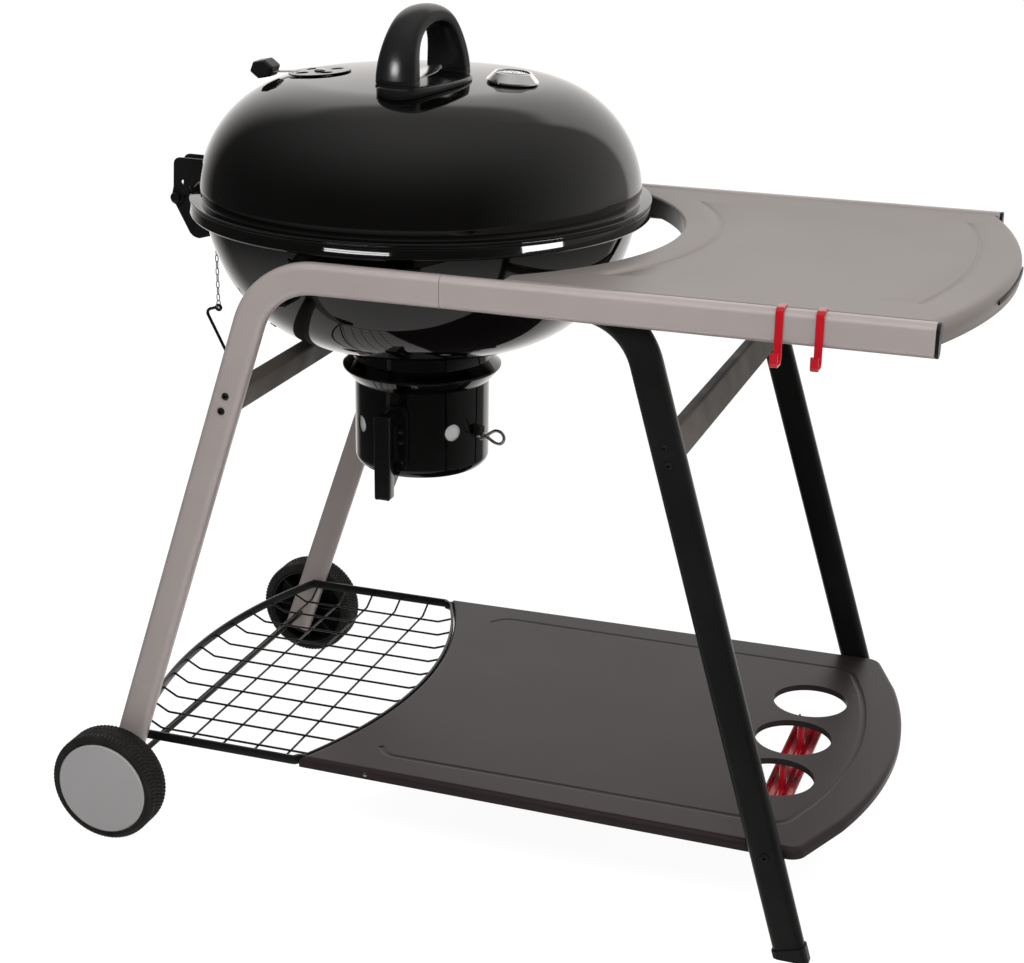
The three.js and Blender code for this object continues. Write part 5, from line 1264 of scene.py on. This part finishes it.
def vent_knob():
    """Six-sided knob lying on its side, its corners and ends softened, with a slot for the lever."""
    tall, deep = KNOB_TALL / 2, 14.0
    corners = [Vector((KNOB_R * cos(k * pi / 3 + 0.18), tall / 0.93 * sin(k * pi / 3 + 0.18)))
               for k in range(6)]
    levels = [(0.72, -deep), (0.86, 0.6 - deep), (0.95, 2.2 - deep), (1.0, 5 - deep), (1.0, deep - 5),
              (0.95, deep - 2.2), (0.86, deep - 0.6), (0.72, deep)]
    rows = []
    for scale, y in levels:
        ring = fillet([c * scale for c in corners], 2.6, 4, closed=True)
        rows.append([vec(p.x, y, 6 + p.y) for p in ring])
    return shifted(capped(rows), -KNOB_REACH, 0, 0)


knob_slot = block(-KNOB_REACH - 9.3, -LEVER_W / 2 - GAP, 0.6, -KNOB_REACH + 40, LEVER_W / 2 + GAP, 2.8)
build("vent_knob_body", on_vent(vent_knob()), plastic, "lid_vent", "vent_knob",
      crease=40, cutters=on_vent(knob_slot), weighted=True)

# ------------------------------------------------------------------ thermometer


def gauge_case():
    r, h = GAUGE_R, GAUGE_TALL
    bezel = fillet([(6, GAP), (r - 1, GAP), (r, 1.5), (r - 0.4, 3.4), (r - 8.6, h - 1.0), (r - 9.4, h),
                    (r - 11, h), (r - 11.6, h - 1.6), (r - 11.6, h - 5), (0, h - 5)], 1.2, 4)
    return revolve([(0, -70), (2, -70), (2.2, -68), (6, -11)] + bezel, 96)


dial_seat = GAUGE_TALL - 5 + GAP
dial_r = GAUGE_R - 11.6 - GAP
build("gauge_case", on_gauge(gauge_case()), chrome, "lid", "thermometer_case", crease=40)
dial_plate = cylinder(dial_r, dial_seat, dial_seat + 0.6, 96)
build("gauge_dial", on_gauge(dial_plate), dial_white, "lid", "thermometer_dial", crease=40)


def gauge_marks():
    """Ticks round the dial, a scale line and the needle, all thin and raised."""
    top = dial_seat + 0.6
    marks = []
    for k in range(31):
        turn = radians(225 - 9 * k)
        long_tick = k % 5 == 0
        tick = block(dial_r - (8 if long_tick else 5.5), -0.45 if long_tick else -0.25, top, dial_r - 2.4,
                     0.45 if long_tick else 0.25, top + 0.12)
        marks.append(turned_z(tick, turn))
    ring = [(dial_r - 2.4, top), (dial_r - 1.9, top), (dial_r - 1.9, top + 0.12),
            (dial_r - 2.4, top + 0.12)]
    marks.append(revolve(ring, 96, closed=True))
    needle = prism([(-5, -0.9), (13, -0.25), (13, 0.25), (-5, 0.9)], top + 0.25, top + 0.6)
    marks.append(turned_z(needle, radians(222)))
    marks.append(cylinder(2.2, top, top + 0.8, 24))
    return merged(*marks)


build("gauge_print", on_gauge(gauge_marks()), dial_ink, "lid", crease=40)
glass_seat = dial_seat + 0.8 + GAP
dome = [(0, glass_seat), (dial_r, glass_seat), (dial_r, glass_seat + 1.2)]
dome += [(dial_r * cos(t), glass_seat + 1.2 + 1.8 * sin(t)) for t in spread(0, pi / 2, 12)[1:-1]]
dome.append((0, glass_seat + 3.0))
build("gauge_glass", on_gauge(revolve(dome, 96)), glass, "lid", "thermometer_glass",
      crease=40)

# ------------------------------------------------------------------ lid handle


def puck_ring(inset, z):
    """A stadium-like outline of the handle's foot, drawn inwards by `inset`."""
    half, wide = PUCK_LONG / 2 - inset, PUCK_WIDE / 2 - inset
    return [vec(half * signed_power(cos(turn), 0.72), wide * signed_power(sin(turn), 0.86), z)
            for turn in turns(72)]


def follow_lid(ring, lift=0.4):
    """Drops a ring, given in the handle's own axes, onto the lid's outer face."""
    laid = on_handle((ring, []))[0]
    return [vec(p.x, p.y, dome_z(hypot(q.x, q.y)) + lift) for p, q in zip(ring, laid)]


def dome_z(r):
    """Height of the lid's outer face at a radius, over both its crown and its shoulder."""
    middle = SHOULDER_R - KNUCKLE_R
    height = CROWN_Z + sqrt((CROWN_R - KNUCKLE_R) ** 2 - middle ** 2)
    edge = CROWN_R * cos(atan2(height - CROWN_Z, middle))
    return crown_z(r) if r <= edge else height + sqrt(KNUCKLE_R ** 2 - (r - middle) ** 2)


FOOT_X, REAR_X, ARCH_POWER = PUCK_LONG / 2 - THICK / 2 - 7, PUCK_LONG / 2 - THICK / 2 - 14, 0.85
HANDLE_FOOT = PUCK_TOP + GAP
BURIED = HANDLE_FOOT - 12
SADDLE = PUCK_TOP - 7


def leg_section(width, thick):
    """Flat on the inside, broadly rounded on the outside: (sideways, outwards) points."""
    half = width / 2
    outer = [(half * clamp(1.06 * cos(t), -1, 1), 3.5 - thick / 2 + (thick - 3.5) * sin(t) ** 0.7)
             for t in spread(0, pi, 28)]
    inner = [(-half + 0.6, 0.8 - thick / 2), (-half + 2, -thick / 2), (half - 2, -thick / 2),
             (half - 0.6, 0.8 - thick / 2)]
    return outer + inner


def arch_point(turn):
    rise = HANDLE_TOP - THICK / 2 - BURIED
    side, up = sin(turn), max(cos(turn), 0)
    reach = FOOT_X if side < 0 else REAR_X
    return vec(reach * signed_power(side, ARCH_POWER), 0, BURIED + rise * up ** ARCH_POWER)


def foot_x(turn_side):
    """Where the arch meets the top of its foot, at the front (-1) or the rear (1)."""
    low, high = 0.9, pi / 2
    for _ in range(40):
        middle = (low + high) / 2
        if arch_point(middle * turn_side).z > HANDLE_FOOT:
            low = middle
        else:
            high = middle
    return arch_point(low * turn_side).x


def handle_foot():
    """Moulded foot shaped to the lid, with a saddle under each leg of the arch."""
    rows = [follow_lid(puck_ring(5, 0)), follow_lid(puck_ring(0.6, 0)), follow_lid(puck_ring(0.0, 0), 1.2)]
    levels = [(0.0, SADDLE - 4.0), (0.3, SADDLE - 2.6), (1.2, SADDLE - 1.2), (2.8, SADDLE - 0.3),
              (5.0, SADDLE)]
    for inset, z in levels:
        rows.append([vec(p.x, p.y, max(p.z, low.z + 0.2)) for p, low in zip(puck_ring(inset, z), rows[2])])
    rows.append(puck_ring(12, SADDLE))
    parts = [capped(rows)]
    for side in (-1, 1):
        x = foot_x(side)
        section = leg_section(FOOT_W + 1.0, THICK + 3.6)
        saddle = []
        for scale, z in ((1, SADDLE - 3), (1, SADDLE + 0.9), (0.955, SADDLE + 1.3), (0.955, SADDLE + 1.9),
                         (0.99, SADDLE + 2.4), (0.99, PUCK_TOP - 0.5), (0.975, PUCK_TOP)):
            saddle.append([vec(x + side * c[1] * scale, c[0] * scale, z) for c in section])
        parts.append(capped(saddle))
    return merged(*parts)


build("handle_foot_moulding", on_handle(handle_foot()), grip_plastic, "lid", "handle_base",
      crease=50)


def handle_screws():
    screws = []
    for end in (-1, 1):
        shank = cylinder(SCREW_R, LID_TOP - 17, LID_TOP + 4, 24)
        head = cylinder(5.5, LID_TOP - 20, LID_TOP - 15, 24)
        screws.append(on_handle(shifted(merged(shank, head), end * SCREW_REACH, 0, 0)))
    return merged(*screws)


build("handle_screws", handle_screws(), plain_steel, "lid", bevel=0.3)


def handle_arch():
    """Arch that is broad and thick at its feet and slimmer over its crest."""
    path = [arch_point(t) for t in spread(-pi / 2, pi / 2, 96)]
    path = [p for p in path if p.z > HANDLE_FOOT + 1.5]
    path = [vec(foot_x(-1), 0, HANDLE_FOOT), *path, vec(foot_x(1), 0, HANDLE_FOOT)]
    rows = []
    for i, (p, lateral, across) in enumerate(frames(path, Y, False)):
        if i in (0, len(path) - 1):
            across = vec(1, 0, 0)
        outward = across * (1 if across.dot(p - vec(0, 0, BURIED)) > 0 else -1)
        rise = smoothstep(HANDLE_FOOT, HANDLE_TOP - THICK, p.z)
        section = leg_section(lerp(FOOT_W, CREST_W, rise), lerp(THICK + 3, THICK, rise))
        rows.append([p + lateral * c[0] + outward * c[1] for c in section])
    return capped(rows)


arch = build("handle_arch", on_handle(handle_arch()), grip_plastic, "lid", "lid_handle",
             crease=50)


def heat_shield():
    """Thin bright plate up the inside of the handle's front leg, with a tongue along its foot."""
    inset = (THICK + 3) / 2 + 1.6
    low = HANDLE_FOOT + GAP
    first = foot_x(-1) + inset
    leg = [vec(first, 0, low)]
    leg += [p + vec(inset, 0, 0) for p in (arch_point(t) for t in spread(-1.4, -1.0, 10)) if p.z > low + 1]
    plate = sweep(rounded_box(38, 1.2, 0.5, 2), leg, Y)
    path = [vec(first - 0.6 + 84 * t, 0, low + 0.6 + 5.5 * t * t) for t in spread(0, 1, 16)]

    def contour(i):
        return rounded_box(38 * max(1 - (i / 16) ** 3, 0.02) ** 0.5, 1.2, 0.3, 2)
    return merged(plate, sweep(contour, path, Y))


build("handle_shield_plate", on_handle(heat_shield()), bright_steel, "lid",
      "handle_heat_shield", crease=40)

# ------------------------------------------------------------------ hinge

HINGE_X, HINGE_Z = -336.0, 770.0
LID_CHEEK, BOWL_CHEEK, PLATE, HINGE_PIN_R = 15.0, 11.0, 2.5, 3.0


def eye(radius, first, last, steps=14):
    return [(HINGE_X + radius * cos(radians(a)), HINGE_Z + radius * sin(radians(a)))
            for a in spread(first, last, steps)]


def from_hinge(*points):
    """Side-view points with x measured from the hinge pin."""
    return [(HINGE_X + x, z) for x, z in points]


def cheeks(outline, outer):
    inner = outer - PLATE
    return [prism(outline, inner, outer, "Y"), prism(outline, -outer, -inner, "Y")]


def hinge_tool(x, z, radius):
    return shifted(turned(cylinder(radius, -40, 40, 32), pi / 2, "X"), x, 0, z)


def lid_clearance():
    """Everything under the lid's outer face, grown a little: what the hinge is cut to fit."""
    rim = RIM_R + GAP
    foot = [(0, 760), (rim, 760), (rim, FLANGE_TOP + GAP), (LID_WALL_R + 2.2, FLANGE_TOP + GAP + 0.4)]
    return revolve(foot + lid_wall(-GAP), 256)


def bowl_clearance():
    top = [(0, 850), (RIM_R + GAP, 850), (RIM_R + GAP, RIM_BOTTOM - GAP), (BOWL_R + GAP, RIM_BOTTOM - GAP)]
    wall = [(r + GAP, z) for r, z in bowl_wall(0)]
    return revolve(top + wall + [(0, wall[-1][1])], 192)


def lid_hinge():
    arm = from_hinge((18, 778), (36, 795), (59, 800), (74, 803), (74, 821), (-2, 822), (-4, 784))
    outline = eye(10, -150, 10) + fillet(arm, 9, 6)
    bridge = block(HINGE_X + 45, PLATE - LID_CHEEK - 1, 811, HINGE_X + 74, LID_CHEEK - PLATE + 1, 821.4)
    return merged(*cheeks(outline, LID_CHEEK)), bridge


def bowl_hinge():
    tail = from_hinge((15, 723), (20, 718.5), (28, 716.5), (44, 721), (74, 729), (96, 740), (96, 768),
                      (26, 768), (11, 777))
    bridge = block(HINGE_X + 51, PLATE - BOWL_CHEEK - 1, 752, HINGE_X + 96, BOWL_CHEEK - PLATE + 1, 768)
    return merged(*cheeks(eye(9, 60, 200) + fillet(tail, 6, 5), BOWL_CHEEK)), bridge


CHAIN_X, CHAIN_HOLE = HINGE_X + 52, HINGE_Z - 40.5
lid_plates, lid_bridge = lid_hinge()
bowl_plates, bowl_bridge = bowl_hinge()
build("lid_hinge_cheeks", lid_plates, black_paint, "lid", "lid_hinge", crease=40,
      cutters=merged(hinge_tool(HINGE_X, HINGE_Z, HINGE_PIN_R + GAP), hinge_tool(HINGE_X + 10, 790, 3.0),
                      hinge_tool(HINGE_X + 21, 784, 2.0), lid_clearance()))
build("lid_hinge_bridge", lid_bridge, black_paint, "lid", crease=40, cutters=lid_clearance())
build("bowl_hinge_cheeks", bowl_plates, black_paint, "cart", "bowl_hinge", crease=40,
      cutters=merged(hinge_tool(HINGE_X, HINGE_Z, HINGE_PIN_R + GAP), hinge_tool(CHAIN_X, CHAIN_HOLE, 1.8),
                     bowl_clearance()))
build("bowl_hinge_bridge", bowl_bridge, black_paint, "cart", crease=40,
      cutters=bowl_clearance())


def hinge_pin():
    end = LID_CHEEK + 4
    head = eased_cylinder(6.5, -end - 2.5, -LID_CHEEK - GAP, 1.6, 5)
    nut = eased_cylinder(5.5, LID_CHEEK + GAP, end, 0.8, 3)
    return shifted(turned(merged(cylinder(HINGE_PIN_R, -end, end), head, nut), -pi / 2, "X"), HINGE_X, 0,
                   HINGE_Z)


build("hinge_pin_bolt", hinge_pin(), black_paint, "cart", "hinge_pin", crease=40)

# ------------------------------------------------------------------ chain and locking pin

CHAIN_Y = -(BOWL_CHEEK - PLATE / 2)
FIRST_HALF, LINK_HALF, LINK_WIDE, CHAIN_WIRE, RING_R, BITE = 8.4, 5.0, 1.9, 0.65, 5.0, 1.3
FIRST_Z = CHAIN_HOLE - FIRST_HALF
PIN_ROD_R, PIN_BEND = 2.0, ((-19, 621), (7, 570), (14, 552))


def link_z(i):
    return FIRST_Z - FIRST_HALF + BITE - LINK_HALF - (i - 1) * (2 * LINK_HALF - BITE)


RING_Z = link_z(9) - LINK_HALF + BITE - RING_R


def chain_link(z, wide, half, flat):
    points = []
    for turn in turns(24):
        across, along = wide * cos(turn), half * signed_power(sin(turn), 0.7)
        x, y = (across, 0) if flat else (0, across)
        points.append(vec(CHAIN_X + x, CHAIN_Y + y, z + along))
    return wire(points, CHAIN_WIRE, Y if flat else X, 8, closed=True)


links = [chain_link(FIRST_Z, LINK_WIDE + 0.4, FIRST_HALF, False)]
links += [chain_link(link_z(i), LINK_WIDE, LINK_HALF, i % 2 == 1) for i in range(1, 10)]
build("pin_chain_links", merged(*links), bright_steel, "chain", "pin_chain", crease=60)
ring = [vec(CHAIN_X, CHAIN_Y + RING_R * cos(t), RING_Z + RING_R * sin(t)) for t in turns(40)]
build("pin_chain_ring", wire(ring, CHAIN_WIRE, X, 8, closed=True), bright_steel, "chain",
      crease=60)


def locking_pin():
    z, loop = RING_Z - RING_R, CHAIN_WIRE + PIN_ROD_R + 0.6
    eye_ring = [vec(CHAIN_X + loop * cos(t), CHAIN_Y, z + loop * sin(t)) for t in turns(28)]
    bend = [vec(CHAIN_X + x, CHAIN_Y, height) for x, height in PIN_BEND]
    path = fillet([vec(CHAIN_X - loop, CHAIN_Y, z), *bend], 6, 6)
    return merged(wire(eye_ring, PIN_ROD_R, Y, 12, closed=True), wire(path, PIN_ROD_R, Y, 12))


build("locking_pin_rod", locking_pin(), black_paint, "locking_pin", "locking_pin", crease=50)

# ------------------------------------------------------------------ tool hooks

HOOK_W, HOOK_T, HOOK_BOTTOM = 8.8, 2.5, 716.0
HOOKS_X = {"left": 520.0, "right": 563.0}


def tool_hook(x):
    rest = HOOK_T / 2 + GAP
    outer = RAIL_HALF + rest
    path = [vec(x, -RAIL_INNER - 3, RAIL_TOP + rest), vec(x, -outer, RAIL_TOP + rest),
            vec(x, -outer, HOOK_BOTTOM), vec(x, -outer - 19, HOOK_BOTTOM),
            vec(x, -outer - 19, HOOK_BOTTOM + 15)]
    return sweep(rounded_box(HOOK_W, HOOK_T, 0.9, 3), fillet(path, 4.5, 7), X)


for side_name, hook_x in HOOKS_X.items():
    hook = f"{side_name}_hook"
    build(f"{hook}_strap", tool_hook(hook_x), red_paint, hook, hook, crease=50)

# ------------------------------------------------------------------ room, lights and camera


def stage_disc():
    """Pale studio floor: one wide disc."""
    count, radius = 96, 14.0
    mesh = bpy.data.meshes.new("studio_floor")
    rim = [(radius * cos(turn), radius * sin(turn), 0) for turn in turns(count)]
    mesh.from_pydata(rim, [], [tuple(range(count))])
    obj = placed("studio_floor", mesh)
    look = bpy.data.materials.new("Studio_floor")
    tree = emptied(look)
    matt = ranged(tree, noise(tree, 0.4, 2.0), 0.85, 0.95)
    shader = add_node(tree, "BsdfPrincipled", {"Base Color": (0.92, 0.92, 0.92, 1), "Roughness": matt,
                                               "Specular IOR Level": 0.1})
    lift = add_node(tree, "Emission", {"Strength": 1.12})
    seen = add_node(tree, "LightPath").outputs["Is Camera Ray"]
    share = add_node(tree, "Math", {0: seen, 1: 0.84}, operation="MULTIPLY")
    mix = add_node(tree, "MixShader", {"Fac": share.outputs["Value"], 1: shader.outputs["BSDF"],
                                       2: lift.outputs["Emission"]})
    add_node(tree, "OutputMaterial", {"Surface": mix.outputs["Shader"]})
    mesh.materials.append(look)
    obj.visible_glossy = False


def area_light(name, place, target, size, watts, glossy=False):
    data = bpy.data.lights.new(name, "AREA")
    data.shape = "RECTANGLE"
    data.size, data.size_y = size
    data.energy = watts
    obj = placed(name, data)
    obj.location = place
    obj.rotation_euler = (Vector(target) - Vector(place)).to_track_quat("-Z", "Y").to_euler()
    obj.visible_glossy = glossy
    obj.visible_camera = False
    return obj


def only_for(light, obj):
    """Keeps a small highlight light to the object it is meant for."""
    group = bpy.data.collections.new(light.name + "_receivers")
    group.objects.link(obj)
    light.light_linking.receiver_collection = group


def studio_world():
    """White to the camera; for the object a bright wall behind, a soft glow right and overhead."""
    world = bpy.data.worlds.new("Studio")
    bpy.context.scene.world = world
    tree = emptied(world)
    place = add_node(tree, "TexCoord").outputs["Generated"]
    axes = add_node(tree, "SeparateXYZ", {"Vector": place})
    rise = axes.outputs["Z"]

    def math(operation, *values):
        return add_node(tree, "Math", enumerate(values), operation=operation).outputs["Value"]

    def band(source, *limits):
        return mapped(tree, source, limits, interpolation_type="SMOOTHSTEP")

    heading = math("ARCTAN2", axes.outputs["Y"], axes.outputs["X"])
    wall_sides = math("MULTIPLY", band(heading, radians(57), radians(68), 0, 1),
                      band(heading, radians(124), radians(160), 1, 0))
    wall_rise = math("ADD", band(rise, 0.67, 0.78, 0.8, 0), band(rise, 0.72, 1.0, 0.28, 0))
    wall = math("MULTIPLY", math("MULTIPLY", wall_sides, wall_rise), band(rise, -0.85, -0.5, 0, 1))
    facing = math("MAXIMUM", math("COSINE", math("SUBTRACT", heading, radians(40))), 0)
    level = math("SUBTRACT", 1, math("MULTIPLY", rise, rise))
    glow = math("MULTIPLY", math("MULTIPLY", math("POWER", facing, 2), level),
                band(rise, -0.35, 0.0, 0.15, 0.5))
    overhead = math("MULTIPLY", math("POWER", math("MAXIMUM", rise, 0), 3), 0.5)
    below = band(rise, -0.8, -0.3, 0.6, 0.05)
    total = math("ADD", math("MAXIMUM", wall, glow), math("ADD", overhead, below))
    room = add_node(tree, "Background", {"Color": (1.0, 0.97, 0.95, 1), "Strength": total})
    white = add_node(tree, "Background", {"Color": (1, 1, 1, 1)})
    seen = add_node(tree, "LightPath").outputs["Is Camera Ray"]
    mix = add_node(tree, "MixShader", {"Fac": seen, 1: room.outputs["Background"],
                                       2: white.outputs["Background"]})
    add_node(tree, "OutputWorld", {"Surface": mix.outputs["Shader"]})


def camera():
    """The photograph's view, fitted once to the object's own corners."""
    yaw, pitch, roll = radians(18.6464), radians(19.6159), radians(0.8450)
    right = vec(cos(yaw), sin(yaw), 0)
    back = vec(sin(yaw) * cos(pitch), -cos(yaw) * cos(pitch), sin(pitch))
    up = back.cross(right)
    level, rise = right * cos(roll) + up * sin(roll), up * cos(roll) - right * sin(roll)
    data = bpy.data.cameras.new("camera")
    data.lens = 70.682
    data.sensor_width = 36
    data.shift_x, data.shift_y = -0.00483, 0.00019
    data.clip_end = 100
    obj = placed("camera", data)
    obj.matrix_world = Matrix((level, rise, back)).transposed().to_4x4()
    obj.location = (0.7350175, -2.319262, 1.304469)
    bpy.context.scene.camera = obj


stage_disc()
studio_world()
camera()
area_light("key_light", (0.25, -1.7, 2.0), (0, -0.1, 0.75), (2.6, 0.9), 66)
area_light("fill_left", (-3.4, -1.4, 1.8), (0, 0, 0.5), (2.0, 2.6), 10)
area_light("fill_right", (3.6, -0.6, 1.8), (0, 0, 0.5), (2.0, 2.6), 45)
for tag, height in (("upper", 0.885), ("lower", 0.815)):
    strip = area_light(f"rim_strip_left_{tag}", (-0.41, -1.80, height), (-0.15, -0.28, 0.787),
                       (0.95, 0.045), 2.4, glossy=True)
    only_for(strip, bowl_shell)
strip = area_light("rim_strip_right", (1.165, -0.35, 0.83), (0.04, -0.18, 0.787), (0.50, 0.20), 7,
                   glossy=True)
only_for(strip, bowl_shell)
lamp = area_light("handle_glint", (-0.96, -1.40, 1.22), (-0.15, -0.16, 0.98), (0.42, 0.34), 8, glossy=True)
only_for(lamp, arch)
bpy.context.scene.view_settings.view_transform = "Standard"
